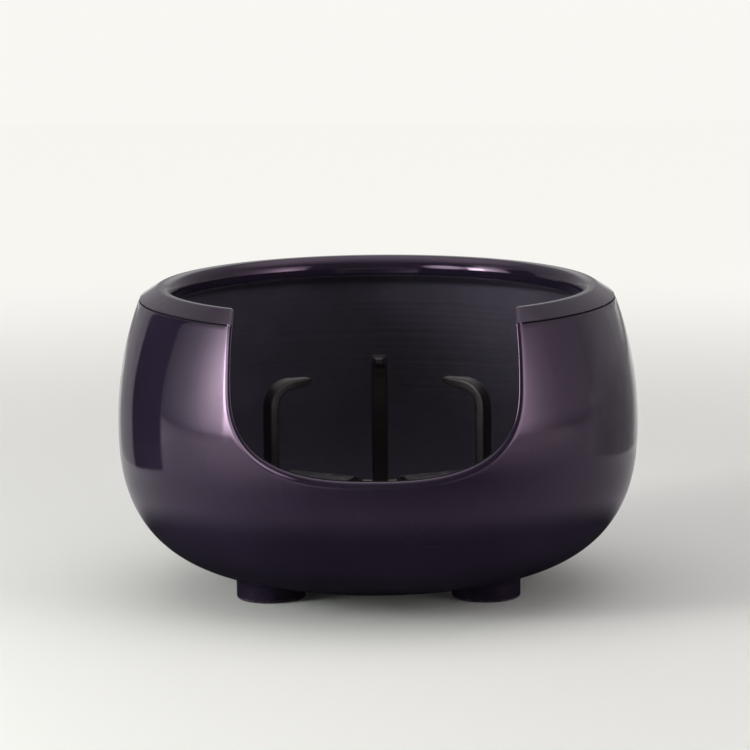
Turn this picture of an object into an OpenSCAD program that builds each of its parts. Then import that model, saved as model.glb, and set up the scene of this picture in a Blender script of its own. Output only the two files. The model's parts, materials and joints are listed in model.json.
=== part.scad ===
// Front-opening furo, the portable charcoal brazier of the tea room: a polished black clay bowl on
// three low feet, with a U-shaped fire opening cut down through its rim. Inside lie the paper lining,
// the floor tile, the ash, a forged trivet, an upright front tile and three charcoals.
// Millimetres. The origin is on the bowl's axis at the surface it stands on, and -Y is the front.

/* [Bowl] */
// Largest outside diameter
body_d = 335; // [312:1:352]
// Height of the widest ring above the flat underside
belly_h = 98; // [90:1:106]
// Height of the shoulder line above the widest ring
wall_h = 79.5; // [73:0.5:87]
// How far the shoulder line lies inside the widest ring
shoulder_in = 15; // [11:0.5:19]
// Thickness of the clay wall
wall_t = 9; // [7:0.5:11]
// Thickness of the clay floor
floor_t = 11; // [10:0.5:14]
// Radius at which the lower wall's curve would lie level
curve_in = 50; // [42:1:56]
// How far that curve would run below the flat underside
curve_over = 2; // [1.5:0.25:3]
// Fullness of the lower wall towards its side, 2 is an ellipse
side_full = 2.8; // [2.5:0.05:3.1]
// Fullness of the lower wall towards its underside, 2 is an ellipse
under_full = 2.55; // [2.3:0.05:2.8]

/* [Rim] */
// Height of the rim's crown above the shoulder line
rim_h = 7.5; // [6:0.5:10]
// Width of the rim from the shoulder line to the mouth
rim_w = 21.5; // [18:0.5:24]
// Rounding of the mouth's upper edge
lip_r = 8.5; // [6:0.5:10]
// Rounding between the rim's outer slope and its crown
crown_edge_r = 5; // [3:0.5:7]
// Depth of the rim at the mouth
rim_t = 13; // [11:0.5:16]
// How far below the shoulder line the rim's underside meets the inner wall
rim_blend = 12; // [9:0.5:16]
// Width of the fine groove under the shoulder line
groove_w = 1.6; // [1:0.1:2.4]
// Depth of that groove
groove_t = 0.8; // [0.4:0.1:1.2]

/* [Fire opening] */
// Greatest width of the opening
opening_w = 176.5; // [160:0.5:196]
// Width of the opening at the shoulder line
opening_top_w = 173.5; // [156:0.5:176]
// Height of the sill above the flat underside
sill_h = 86; // [76:1:96]
// Height of the opening's rounded part above the sill
opening_curve_h = 58; // [50:1:64]
// Fullness of the rounded part, 2 is an ellipse
opening_full = 2.9; // [2.5:0.05:3.3]

/* [Feet] */
// Height of the flat underside above the ground
foot_h = 12; // [9:0.5:18]
// Diameter of a foot
foot_d = 44; // [36:1:50]
// Diameter of the circle on which the feet stand
foot_ring_d = 159; // [140:1:166]
// Bevel around the bottom of a foot
foot_bevel = 1.5; // [1:0.25:3]
// Diameter of the peg on top of a foot
peg_d = 16; // [12:1:20]
// Length of that peg
peg_h = 6; // [4:0.5:7]

/* [Hearth] */
// Thickness of the paper lining
paper_t = 0.6; // [0.4:0.1:1]
// Thickness of the floor tile
tile_t = 9; // [7:0.5:12]
// Width of the floor tile that shows round the trivet
tile_margin = 6; // [4:0.5:8]
// Bevel around the floor tile
tile_bevel = 1.2; // [0.8:0.2:2]
// Depth of the ash over the floor tile
ash_over_tile = 5.6; // [5:0.2:9]
// Rise of the ash towards the wall
ash_rise = 4; // [2:0.5:8]
// Width of the level ash round the trivet
ash_level_w = 14; // [8:1:18]

/* [Trivet] */
// Outside diameter of the trivet's ring
trivet_d = 168; // [156:1:174]
// Height of the trivet
trivet_h = 108; // [96:1:116]
// Width of the ring's bar
ring_w = 12; // [10:0.5:14]
// Height of the ring's bar
ring_h = 7; // [5:0.5:9]
// Angle from the front to each end of the ring
ring_end_a = 50; // [44:1:53]
// Angle from the front to each front leg
leg_a = 60; // [58:1:66]
// Width of a leg
leg_w = 11; // [8:0.5:13]
// Thickness of a leg
leg_t = 7.5; // [6:0.5:9]
// Radius of the bend at the top of a leg, at its middle
bend_r = 14; // [11:0.5:18]
// Length of the claw beyond the bend
claw_l = 15; // [10:0.5:20]
// Width of the claw's tip
claw_tip_w = 6; // [4:0.5:8]
// Thickness of the claw's tip
claw_tip_t = 4.5; // [3:0.5:6]
// Diameter of the tenon that rivets a leg into the ring
tenon_d = 6; // [4:0.5:7]

/* [Front tile] */
// Radius of the front tile's round edge
front_tile_r = 56; // [48:1:60]
// Height of the front tile
front_tile_h = 47; // [40:1:50]
// Thickness of the front tile
front_tile_t = 7; // [5:0.5:9]
// Bevel of the front tile's round edge
front_tile_bevel = 1.2; // [0.6:0.2:2]
// Distance from the front charcoal to the front tile
front_tile_gap = 3; // [2:0.5:6]

/* [Charcoal] */
// Diameter of a charcoal
charcoal_d = 34; // [28:1:38]
// Length of a charcoal
charcoal_l = 50; // [42:1:52]
// Bevel around a charcoal's ends
charcoal_bevel = 1; // [0.6:0.2:2]
// Distance from a charcoal's outer edge to the trivet's ring
fire_gap = 2; // [1:0.5:4]
// Depth to which a charcoal lies in the ash
charcoal_sink = 3; // [2:0.2:3.6]

/* [Fits] */
// Clearance round the pegs of the feet
peg_fit = 0.1; // [0.05:0.05:0.3]
// Clearance round the tenons of the trivet
tenon_fit = 0.05; // [0.02:0.01:0.1]
// Clearance in the ash round what lifts out
ash_fit = 0.4; // [0.3:0.1:0.8]

/* [Hidden] */

$fn = 96;
front = -90;      // polar angle of the front
beyond = 1;       // how far a cut runs past a face
steps_lower = 22; // segments of the lower wall's curve
steps_upper = 8;  // segments of the upper wall's arc
steps_rim = 8;    // segments of each arc of the rim
steps_open = 14;  // segments of each side of the opening's curve
steps_side = 4;   // segments of each side of the opening above its curve
steps_bend = 8;   // segments of the bend of a leg

// Heights from the ground up
belly_z = foot_h + belly_h;
shoulder_z = belly_z + wall_h;
rim_z = shoulder_z + rim_h;
sill_z = foot_h + sill_h;
spring_z = sill_z + opening_curve_h;
floor_z = foot_h + floor_t;
tile_z = floor_z + paper_t;
hearth_z = tile_z + tile_t;
ash_z = hearth_z + ash_over_tile;
ash_edge_z = ash_z + ash_rise;
charcoal_z = ash_z - charcoal_sink + charcoal_d / 2;

// Radii of the bowl
belly_r = body_d / 2;
shoulder_r = belly_r - shoulder_in;
mouth_r = shoulder_r - rim_w;
crown_r = mouth_r + lip_r;
upper_r = (pow(shoulder_in, 2) + pow(wall_h, 2)) / (2 * shoulder_in);
edge_d = [shoulder_r - crown_r, crown_edge_r - rim_h]; // from the middle of the crown's edge to the shoulder
slope_a = atan2(edge_d.y, edge_d.x) + acos(crown_edge_r / norm(edge_d)); // where the rim's slope meets that edge
lower_a = belly_r - curve_in;
lower_b = belly_h + curve_over;
foot_ring_r = foot_ring_d / 2;

// Radii of the hearth
ring_out_r = trivet_d / 2;
ring_in_r = ring_out_r - ring_w;
ring_mid_r = ring_out_r - ring_w / 2;
tile_r = ring_out_r + tile_margin;
charcoal_out_r = sqrt(pow(ring_in_r - fire_gap, 2) - pow(charcoal_d / 2, 2));
front_tile_y = charcoal_out_r + front_tile_gap + front_tile_t / 2;
front_leg_as = [front - leg_a, front + leg_a];
rear_leg_a = front + 180;
charcoal_as = [front, front - 120, front + 120];
foot_as = [front - 60, front + 60, front + 180];

// Point of the lower wall, from the belly at 0 to the level underside at 90, moved inwards by d
function lower_wall(t, d) =
    let (
        u = pow(cos(t), 2 / side_full),
        v = pow(sin(t), 2 / under_full),
        n = [side_full * pow(u, side_full - 1) / lower_a, -under_full * pow(v, under_full - 1) / lower_b]
    )
    [curve_in + lower_a * u, belly_z - lower_b * v] - d * n / norm(n);

// Point of the upper wall at height h above the belly on its outer face, moved inwards by d
function upper_wall(h, d) =
    let (a = asin(h / upper_r))
    [belly_r - upper_r, belly_z] + (upper_r - d) * [cos(a), sin(a)];

// Height above the belly on the outer face of the inner wall's point at height z
function inner_h(z) = (z - belly_z) * upper_r / (upper_r - wall_t);

// Height of the bowl's underside at radius r
function underside_z(r) =
    let (u = max(0, (r - curve_in) / lower_a))
    max(foot_h, belly_z - lower_b * pow(1 - pow(u, side_full), 1 / under_full));

function arc_points(c, r, a0, a1, n) = [
    for (i = [0:n]) let (a = a0 + (a1 - a0) * i / n) c + r * [cos(a), sin(a)]
];

function wall_points(d, top_h) = [
    for (i = [0:steps_lower]) lower_wall(90 * (1 - i / steps_lower), d),
    for (i = [1:steps_upper]) upper_wall(top_h * i / steps_upper, d)
];

// Outline of the bowl's outside, from the axis out and up over the rim to the mouth
function outside_points() = [
    [0, belly_z - lower_b],
    each wall_points(0, wall_h - groove_w),
    upper_wall(wall_h - groove_w / 2, groove_t),
    [shoulder_r, shoulder_z],
    each arc_points([crown_r, rim_z - crown_edge_r], crown_edge_r, slope_a, 90, steps_rim),
    each arc_points([crown_r, rim_z - lip_r], lip_r, 90, 180, steps_rim),
    [0, rim_z - lip_r]
];

// Outline of the bowl's hollow, drawn in by extra, from the axis out and up through the mouth
function hollow_points(extra) = [
    [0, belly_z - lower_b + wall_t + extra],
    each wall_points(wall_t + extra, inner_h(shoulder_z - rim_blend)),
    [mouth_r, rim_z - rim_t],
    [mouth_r, rim_z + beyond],
    [0, rim_z + beyond]
];

module above(z) {
    translate([0, z])
        square([body_d, rim_z + body_d]);
}

module outside_2d() {
    intersection() {
        polygon(outside_points());
        above(foot_h);
    }
}

module hollow_2d(extra) {
    intersection() {
        polygon(hollow_points(extra));
        above(floor_z + extra);
    }
}

module beveled_disc(r, t, bevel) {
    rotate_extrude()
        polygon([
            [0, 0], [r - bevel, 0], [r, bevel], [r, t - bevel], [r - bevel, t], [0, t]
        ]);
}

// Half the opening's width at height z above its curve, which keeps its width through the rim
function opening_side(z) =
    let (h = min(z, shoulder_z) - spring_z)
    opening_w / 2 - (opening_w - opening_top_w) / 2 * pow(h / (shoulder_z - spring_z), 2);

// Right half of the fire opening's outline, from above the rim down to the middle of the sill
function opening_half() = [
    for (i = [0:steps_side - 1])
        let (z = rim_z + beyond + (spring_z - rim_z - beyond) * i / steps_side)
        [opening_side(z), z],
    for (i = [0:steps_open])
        let (t = 90 * i / steps_open)
        [
            opening_w / 2 * pow(cos(t), 2 / opening_full),
            spring_z - opening_curve_h * pow(sin(t), 2 / opening_full)
        ]
];

module fire_opening() {
    half = opening_half();
    left = [for (i = [len(half) - 2:-1:0]) [-half[i].x, half[i].y]];
    rotate([90, 0, 0])
        linear_extrude(belly_r + beyond)
            polygon(concat(half, left));
}

module at_foot(a) {
    rotate([0, 0, a])
        translate([foot_ring_r, 0, 0])
            children();
}

module body_shell() {
    color("#221f27")
        difference() {
            rotate_extrude()
                difference() {
                    outside_2d();
                    hollow_2d(0);
                }
            fire_opening();
            for (a = foot_as)
                at_foot(a)
                    translate([0, 0, foot_h - beyond])
                        cylinder(h = beyond + peg_h + peg_fit, d = peg_d + 2 * peg_fit);
        }
}

// One foot, whose top follows the bowl's underside
module foot(a) {
    top = underside_z(foot_ring_r + foot_d / 2) + beyond;
    color("#1d1b21") {
        difference() {
            at_foot(a)
                rotate_extrude()
                    polygon([
                        [0, 0], [foot_d / 2 - foot_bevel, 0], [foot_d / 2, foot_bevel],
                        [foot_d / 2, top], [0, top]
                    ]);
            rotate_extrude()
                outside_2d();
        }
        at_foot(a)
            translate([0, 0, foot_h / 2])
                cylinder(h = foot_h / 2 + peg_h, d = peg_d);
    }
}

module front_left_foot() {
    foot(foot_as[0]);
}

module front_right_foot() {
    foot(foot_as[1]);
}

module rear_foot() {
    foot(foot_as[2]);
}

module lining_paper() {
    color("#e9e2d2")
        rotate_extrude()
            difference() {
                hollow_2d(0);
                hollow_2d(paper_t);
                above(ash_edge_z);
            }
}

module floor_tile() {
    color("#b4714d")
        translate([0, 0, tile_z])
            beveled_disc(tile_r, tile_t, tile_bevel);
}

// The ash, with room for the floor tile and for everything that lifts out of it
module ash_bed() {
    level_r = tile_r + ash_level_w;
    color("#c9c4ba")
        difference() {
            rotate_extrude()
                intersection() {
                    hollow_2d(paper_t);
                    polygon([
                        [0, 0], [belly_r, 0], [belly_r, ash_edge_z + ash_rise],
                        [level_r, ash_z], [0, ash_z]
                    ]);
                }
            floor_tile();
            translate([0, 0, hearth_z])
                ring_bar(ash_fit, ash_over_tile + beyond);
            front_tile_place()
                front_tile_plate(ash_fit);
            for (a = charcoal_as)
                charcoal(a, ash_fit);
        }
}

// Bar of the trivet's ring, open at the front, grown by fit on its sides and ends
module ring_bar(fit, h) {
    end_a = ring_end_a - fit / ring_in_r * 180 / PI;
    rotate([0, 0, front + end_a])
        rotate_extrude(angle = 360 - 2 * end_a)
            translate([ring_in_r - fit, 0])
                square([ring_w + 2 * fit, h]);
}

module trivet_ring() {
    color("#2b2a2a")
        translate([0, 0, hearth_z])
            difference() {
                ring_bar(0, ring_h);
                for (a = concat(front_leg_as, rear_leg_a))
                    rotate([0, 0, a])
                        translate([ring_mid_r, 0, -beyond])
                            cylinder(h = ring_h + 2 * beyond, d = tenon_d + 2 * tenon_fit);
            }
}

// One leg of the trivet: an upright bar that bends inwards to a tapered claw, riveted into the ring
module trivet_leg(a) {
    bend = [ring_mid_r - bend_r, hearth_z + trivet_h - bend_r - leg_t / 2];
    foot_z = hearth_z + ring_h;
    tip_x = bend.x - claw_l;
    side = [
        [ring_mid_r - leg_t / 2, foot_z],
        [ring_mid_r + leg_t / 2, foot_z],
        each arc_points(bend, bend_r + leg_t / 2, 0, 90, steps_bend),
        [tip_x, hearth_z + trivet_h],
        [tip_x, hearth_z + trivet_h - claw_tip_t],
        each arc_points(bend, bend_r - leg_t / 2, 90, 0, steps_bend)
    ];
    plan = [
        [ring_out_r, -leg_w / 2], [ring_out_r, leg_w / 2], [bend.x, leg_w / 2],
        [tip_x, claw_tip_w / 2], [tip_x, -claw_tip_w / 2], [bend.x, -leg_w / 2]
    ];
    color("#2f2d2c")
        rotate([0, 0, a]) {
            intersection() {
                rotate([90, 0, 0])
                    linear_extrude(leg_w, center = true)
                        polygon(side);
                linear_extrude(hearth_z + trivet_h + beyond)
                    polygon(plan);
            }
            translate([ring_mid_r, 0, hearth_z])
                cylinder(h = ring_h + leg_t, d = tenon_d);
        }
}

module trivet_left_leg() {
    trivet_leg(front_leg_as[0]);
}

module trivet_right_leg() {
    trivet_leg(front_leg_as[1]);
}

module trivet_rear_leg() {
    trivet_leg(rear_leg_a);
}

module front_tile_place() {
    translate([0, -front_tile_y, hearth_z])
        children();
}

// Upright plate with a straight foot and a round top, grown by fit on its faces and edges
module front_tile_plate(fit) {
    r = front_tile_r + fit;
    t = front_tile_t + 2 * fit;
    intersection() {
        translate([0, t / 2, front_tile_h - front_tile_r])
            rotate([90, 0, 0])
                beveled_disc(r, t, front_tile_bevel);
        translate([-r, -t, 0])
            cube([2 * r, 2 * t, front_tile_h + r]);
    }
}

module front_tile() {
    color("#a8613f")
        front_tile_place()
            front_tile_plate(0);
}

// One charcoal lying along the radius at polar angle a, grown by fit all over
module charcoal(a, fit) {
    rotate([0, 0, a])
        translate([charcoal_out_r - charcoal_l - fit, 0, charcoal_z])
            rotate([0, 90, 0])
                beveled_disc(charcoal_d / 2 + fit, charcoal_l + 2 * fit, charcoal_bevel);
}

module front_charcoal() {
    color("#18181a")
        charcoal(charcoal_as[0], 0);
}

module left_charcoal() {
    color("#18181a")
        charcoal(charcoal_as[1], 0);
}

module right_charcoal() {
    color("#18181a")
        charcoal(charcoal_as[2], 0);
}

body_shell();
front_left_foot();
front_right_foot();
rear_foot();
lining_paper();
floor_tile();
ash_bed();
trivet_ring();
trivet_left_leg();
trivet_right_leg();
trivet_rear_leg();
front_tile();
front_charcoal();
left_charcoal();
right_charcoal();
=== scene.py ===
"""Looks of a front-opening furo: burnished clay bowl, ash, forged trivet, tiles and charcoal.

Lengths are millimetres in the classes of pieces, as in the part's source, and metres in the finishes and
in the studio. The front is -Y and the bowl's axis is Z.
"""
import json
import logging
import math
from dataclasses import dataclass
from enum import Enum, IntEnum
from typing import NamedTuple, Optional, Sequence

import bmesh
import bpy
import numpy as np
from mathutils import Matrix, noise

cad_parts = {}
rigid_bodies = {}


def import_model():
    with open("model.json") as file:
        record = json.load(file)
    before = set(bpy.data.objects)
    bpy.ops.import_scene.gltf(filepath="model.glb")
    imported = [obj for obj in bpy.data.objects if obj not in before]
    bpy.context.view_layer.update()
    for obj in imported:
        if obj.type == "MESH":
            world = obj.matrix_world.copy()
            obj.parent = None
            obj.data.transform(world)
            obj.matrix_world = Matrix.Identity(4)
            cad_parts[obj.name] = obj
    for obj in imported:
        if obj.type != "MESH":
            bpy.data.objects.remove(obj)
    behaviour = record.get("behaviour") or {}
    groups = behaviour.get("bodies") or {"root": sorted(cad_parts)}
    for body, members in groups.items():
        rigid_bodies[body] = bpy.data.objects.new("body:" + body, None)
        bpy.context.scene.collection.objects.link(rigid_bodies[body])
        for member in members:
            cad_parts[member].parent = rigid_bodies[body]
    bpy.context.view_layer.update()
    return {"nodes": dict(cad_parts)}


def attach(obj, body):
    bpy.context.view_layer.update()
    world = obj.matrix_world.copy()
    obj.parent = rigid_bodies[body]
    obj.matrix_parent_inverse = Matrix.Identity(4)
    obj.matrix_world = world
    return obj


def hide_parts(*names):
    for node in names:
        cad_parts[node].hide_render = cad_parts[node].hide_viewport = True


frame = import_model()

LOG = logging.getLogger("furo")
MM = 0.001
WELD = 2e-6  # metres within which points of a skin are one
FIT = 0.05  # millimetres that keep thin pieces apart
QUARTER = math.pi / 2
GRAIN_SHIFT = np.array([17.3, 41.9, 73.1])

Pair = tuple[float, float]
Plan = Pair
Triple = tuple[float, float, float]
Colour = Triple
Edges = dict[bool, tuple[np.ndarray, np.ndarray]]
Fall = tuple[Pair, ...]
Stops = tuple[tuple[float, Colour], ...]
Socket = bpy.types.NodeSocket


class Clay(IntEnum):
    """Material slots of the bowl."""

    POLISHED = 0
    SMOKED = 1
    # slot of the near-black painted shade in the groove under the rim
    GROOVE = 2


class Third(Enum):
    """Places a third of a turn apart, as polar angles in degrees."""

    FRONT = -90.0
    FRONT_LEFT = -150.0
    FRONT_RIGHT = -30.0
    REAR = 90.0
    LEFT = 150.0
    RIGHT = 30.0

    @property
    def turn(self) -> float:
        """Polar angle in radians."""
        return math.radians(self.value)


def smooth_step(low: float, high: float, value: np.ndarray) -> np.ndarray:
    """Eases from 0 to 1.

    Args:
        low: Value at which the result is 0.
        high: Value at which the result is 1.
        value: Values to ease.

    Returns:
        Eased values from 0 to 1.
    """
    t = np.clip((value - low) / (high - low), 0.0, 1.0)
    return t * t * (3.0 - 2.0 * t)


def waves(place: np.ndarray, terms: Sequence[Triple]) -> np.ndarray:
    """Sum of sine waves, each of a height, a rate and a phase."""
    return sum(high * np.sin(rate * place + phase) for high, rate, phase in terms)


def grain(points: np.ndarray, scale: Sequence[float], seed: int) -> np.ndarray:
    """Smooth noise at points.

    Args:
        points: Array whose last axis holds x, y and z in millimetres.
        scale: Waves per millimetre along x, y and z.
        seed: Picks another field of the same kind.

    Returns:
        Noise from about -1 to 1 for each point.
    """
    flat = points.reshape(-1, 3) * np.asarray(scale) + GRAIN_SHIFT * (seed + 1)
    values = np.array([noise.noise(p) for p in flat.tolist()])
    return values.reshape(points.shape[:-1])


def circle(count: int) -> np.ndarray:
    """Angles of even places all round, in radians."""
    return np.linspace(0.0, 2 * math.pi, count + 1)[:-1]


def arc(centre: Sequence[float], radius: float, angles: np.ndarray) -> np.ndarray:
    """Points of a section that lie on an arc, at polar angles in radians."""
    return np.asarray(centre) + radius * np.stack([np.cos(angles), np.sin(angles)], axis=1)


def travel(line: np.ndarray) -> np.ndarray:
    """Distance along a line to each of its points."""
    return np.concatenate([[0.0], np.cumsum(np.linalg.norm(np.diff(line, axis=0), axis=1))])


def resample(line: np.ndarray, count: int) -> np.ndarray:
    """Spaces points evenly along a line.

    Args:
        line: Points of the line, one a row.
        count: Number of segments wanted.

    Returns:
        Array of count + 1 points.
    """
    along = travel(line)
    wanted = np.linspace(0.0, along[-1], count + 1)
    return np.stack([np.interp(wanted, along, part) for part in line.T], axis=1)


def loop_ways(loop: np.ndarray, reach: float) -> np.ndarray:
    """Directions along a closed line.

    Args:
        loop: Points of the line, one a row.
        reach: Distance to each side over which a direction is taken, so that corners turn softly.

    Returns:
        A unit vector for each point.
    """
    ring = np.concatenate([loop, loop[:1]])
    along = travel(ring)

    def at(place: np.ndarray) -> np.ndarray:
        """Points at distances along the line."""
        return np.stack([np.interp(place % along[-1], along, part) for part in ring.T], axis=1)

    ways = at(along[:-1] + reach) - at(along[:-1] - reach)
    return ways / np.linalg.norm(ways, axis=1, keepdims=True)


def turned(radius: np.ndarray, angle: np.ndarray, height: np.ndarray) -> np.ndarray:
    """Points round the axis.

    Args:
        radius: Distances from the axis.
        angle: Angles from the front, towards the right, in radians.
        height: Heights.

    Returns:
        Array with x, y and z on its last axis.
    """
    radius, angle, height = np.broadcast_arrays(radius, angle, height)
    return np.stack([radius * np.sin(angle), -radius * np.cos(angle), height], axis=-1)


class NodeBox:
    """Short words for building a node tree."""

    def __init__(self, tree: bpy.types.NodeTree) -> None:
        """Keeps the tree."""
        self.tree = tree

    def give(self, node: bpy.types.Node, key: str | int, value: object) -> None:
        """Links a socket to a node's input, or sets the input.

        Args:
            node: The node.
            key: Name or number of the input.
            value: A socket, a value or a colour.
        """
        goal = node.inputs[key]
        if isinstance(value, Socket):
            self.tree.links.new(value, goal)
        else:
            goal.default_value = (*value, 1.0) if goal.type == "RGBA" else value

    def add(self, kind: str, inputs: Optional[dict] = None, **settings: object) -> bpy.types.Node:
        """Adds a node.

        Args:
            kind: Type of the node.
            inputs: Sockets and values, by name or number of the input.
            settings: Other properties of the node.

        Returns:
            The node.
        """
        node = self.tree.nodes.new(kind)
        for name, value in settings.items():
            setattr(node, name, value)
        for key, value in (inputs or {}).items():
            self.give(node, key, value)
        return node

    def ramp(self, value: Socket, stops: Stops) -> Socket:
        """Colour by value.

        Args:
            value: Socket with values from 0 to 1.
            stops: Positions and colours.

        Returns:
            The colour.
        """
        node = self.add("ShaderNodeValToRGB", {"Fac": value})
        band = node.color_ramp
        while len(band.elements) < len(stops):
            band.elements.new(0.5)
        for element, (position, colour) in zip(band.elements, stops):
            element.position = position
            element.color = (*colour, 1.0)
        return node.outputs["Color"]

    def greys(self, value: Socket, fall: Fall) -> Socket:
        """Brightness by value, from positions and levels."""
        return self.ramp(value, [(position, (level,) * 3) for position, level in fall])

    def span(self, value: Socket, kind: Sequence[float], ease: str = "LINEAR") -> Socket:
        """Maps a range of values to another, held at its ends."""
        given = dict(zip(("From Min", "From Max", "To Min", "To Max"), kind), Value=value)
        return self.add("ShaderNodeMapRange", given, interpolation_type=ease).outputs["Result"]

    def sums(self, operation: str, total: Socket | float, *others: Socket | float) -> Socket:
        """Arithmetic on values, one after the other.

        Args:
            operation: Which one.
            total: The first value.
            others: The other values.

        Returns:
            The result.
        """
        for other in others:
            total = self.add("ShaderNodeMath", {0: total, 1: other}, operation=operation).outputs[0]
        return total


class Span(NamedTuple):
    """A range of values and the range that it is mapped to."""

    low: float
    high: float
    to_low: float
    to_high: float


@dataclass(frozen=True)
class Cloud:
    """Noise: waves per metre, finer layers, their strength, distortion, and stretch along the axes."""

    scale: float
    detail: float
    rough: float = 0.5
    warp: float = 0.0
    stretch: Optional[Triple] = None


@dataclass(frozen=True)
class Cells:
    """Distance from the middles of cells, of which there are so many a metre."""

    scale: float


class Face(Enum):
    """Values that a place on a surface has by itself."""

    HEIGHT = "height"
    UPWARD = "upward"


@dataclass(frozen=True)
class Mask:
    """Values, and the shares that they stand for."""

    source: Cloud | Cells | Face
    share: Span


Source = Cloud | Cells | Face | Mask
Reliefs = tuple[tuple[Source, float], ...]
NOISE_RANGE = (0.3, 0.7)  # most of a noise's values lie between these
STROKES = Cloud(1.0, 3.0, 0.6, stretch=(9.0, 9.0, 240.0))
TURNED_RINGS = Cloud(1.0, 2.0, stretch=(4.0, 4.0, 310.0))
FIBRES = Cloud(420.0, 6.0, 0.7, 1.2)
MIX_FACTOR, MIX_UNDER, MIX_OVER, MIX_RESULT = 0, 6, 7, 2  # numbers of a colour mix's sockets
BLACK = (0.0, 0.0, 0.0)
WHITE = (1.0, 1.0, 1.0)
ORIGIN = (0.0, 0.0, 0.0)


class Paint(NodeBox):
    """Short words for building one material's nodes."""

    def __init__(self, name: str) -> None:
        """Makes the material.

        Args:
            name: Its name.
        """
        self.material = bpy.data.materials.new(name)
        self.material.use_nodes = True
        super().__init__(self.material.node_tree)
        self.place = self.add("ShaderNodeTexCoord").outputs["Object"]

    def shade(self, **inputs: object) -> bpy.types.Material:
        """Fills the shader's inputs.

        Args:
            inputs: Sockets and values, by name of the input with _ for a space.

        Returns:
            The material.
        """
        for name, value in inputs.items():
            self.give(self.tree.nodes["Principled BSDF"], name.replace("_", " "), value)
        return self.material

    def matt(self, **inputs: object) -> bpy.types.Material:
        """Fills the inputs of a shader without any gloss."""
        return self.shade(Roughness=1.0, Specular_IOR_Level=0.0, **inputs)

    def stretched(self, scale: Optional[Triple]) -> Socket:
        """Object coordinates, scaled along each axis if there is a scale."""
        given = {"Vector": self.place, "Scale": scale}
        return self.add("ShaderNodeMapping", given).outputs["Vector"] if scale else self.place

    def part(self, axis: str, vector: Optional[Socket] = None) -> Socket:
        """Part of a vector, or of the object's own coordinates, along an axis."""
        return self.add("ShaderNodeSeparateXYZ", {"Vector": vector or self.place}).outputs[axis]

    def values(self, source: Source) -> Socket:
        """Values over the surface.

        Args:
            source: Where they come from.

        Returns:
            The values.
        """
        match source:
            case Mask():
                return self.span(self.values(source.source), source.share)
            case Face.HEIGHT:
                return self.part("Z")
            case Face.UPWARD:
                return self.part("Z", self.add("ShaderNodeNewGeometry").outputs["Normal"])
            case Cells():
                given = {"Vector": self.place, "Scale": source.scale}
                return self.add("ShaderNodeTexVoronoi", given).outputs["Distance"]
        given = {"Vector": self.stretched(source.stretch), "Scale": source.scale, "Detail": source.detail,
                 "Roughness": source.rough, "Distortion": source.warp}
        return self.add("ShaderNodeTexNoise", given).outputs["Fac"]

    def distance(self, point: Triple, scale: Optional[Triple] = None) -> Socket:
        """Distance from a point, in the object's own coordinates or in those times a scale."""
        given = {0: self.stretched(scale), 1: point}
        return self.add("ShaderNodeVectorMath", given, operation="DISTANCE").outputs["Value"]

    def over(self, amount: Socket, under: Socket, colour: Colour) -> Socket:
        """Lays an amount of a colour over another."""
        given = {MIX_FACTOR: amount, MIX_UNDER: under, MIX_OVER: colour}
        return self.add("ShaderNodeMix", given, data_type="RGBA").outputs[MIX_RESULT]

    def relief(self, value: Socket, depth: float, below: Optional[Socket] = None) -> Socket:
        """Normal bent by a relief so many metres deep, over coarser relief if there is any."""
        given = {"Strength": 1.0, "Distance": depth, "Height": value, **({"Normal": below} if below else {})}
        return self.add("ShaderNodeBump", given).outputs["Normal"]


@dataclass(frozen=True)
class Finish:
    """A finish that is made once and shared."""

    name: str

    def material(self) -> bpy.types.Material:
        """The finish's material, made at its first use."""
        return bpy.data.materials.get(self.name) or self.paint(Paint(self.name))

    def paint(self, box: Paint) -> bpy.types.Material:
        """Builds the nodes.

        Args:
            box: Paint of the new material.

        Returns:
            The material.
        """
        return box.material


@dataclass(frozen=True)
class Layer:
    """A layer that shows where all its masks do, with its colour, dulling and metallic share, if any."""

    masks: tuple[Mask, ...]
    colour: Optional[Colour] = None
    dull: float = 0.0
    metal: Optional[Span] = None


Layers = tuple[Layer, ...]


@dataclass(frozen=True)
class Layered(Finish):
    """Cloudy tones under patchy layers, with relief from coarse to fine, in metres."""

    base: Cloud
    tones: Stops
    dull: Pair
    reliefs: Reliefs
    layers: Layers = ()
    ior: float = 1.5
    shine: float = 0.5
    sheen: Colour = WHITE

    def paint(self, box: Paint) -> bpy.types.Material:
        """Lays the tones, the layers in order and the relief.

        Args:
            box: Paint of the new material.

        Returns:
            The material.
        """
        base = box.values(self.base)
        colour, dull, normal = box.ramp(base, self.tones), box.span(base, NOISE_RANGE + self.dull), None
        for layer in self.layers:
            amount = box.sums("MULTIPLY", *map(box.values, layer.masks))
            if layer.colour:
                colour = box.over(amount, colour, layer.colour)
            if layer.dull:
                dull = box.sums("ADD", dull, box.sums("MULTIPLY", amount, layer.dull))
            if layer.metal:
                box.shade(Metallic=box.span(amount, layer.metal))
        for source, depth in self.reliefs:
            normal = box.relief(box.values(source), depth, normal)
        return box.shade(Base_Color=colour, Roughness=dull, Normal=normal, IOR=self.ior,
                         Specular_IOR_Level=self.shine, Specular_Tint=self.sheen)


@dataclass(frozen=True)
class BurnishedClay(Layered):
    """Black clay, smoked and burnished to a soft mirror: slightly uneven, with faint level strokes."""

    name: str = "burnished_black_clay"
    base: Cloud = Cloud(11.0, 3.0)
    tones: Stops = ((0.35, (0.0100, 0.0072, 0.0150)), (0.68, (0.0155, 0.0112, 0.0225)))
    dull: Pair = (0.055, 0.105)
    reliefs: Reliefs = ((Cloud(24.0, 1.0), 0.00016), (STROKES, 0.000012))
    layers: Layers = (Layer((Mask(STROKES, Span(0.45, 0.75, 0.0, 0.035)),), dull=1.0),)
    sheen: Colour = (1.0, 0.72, 0.99)


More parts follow.
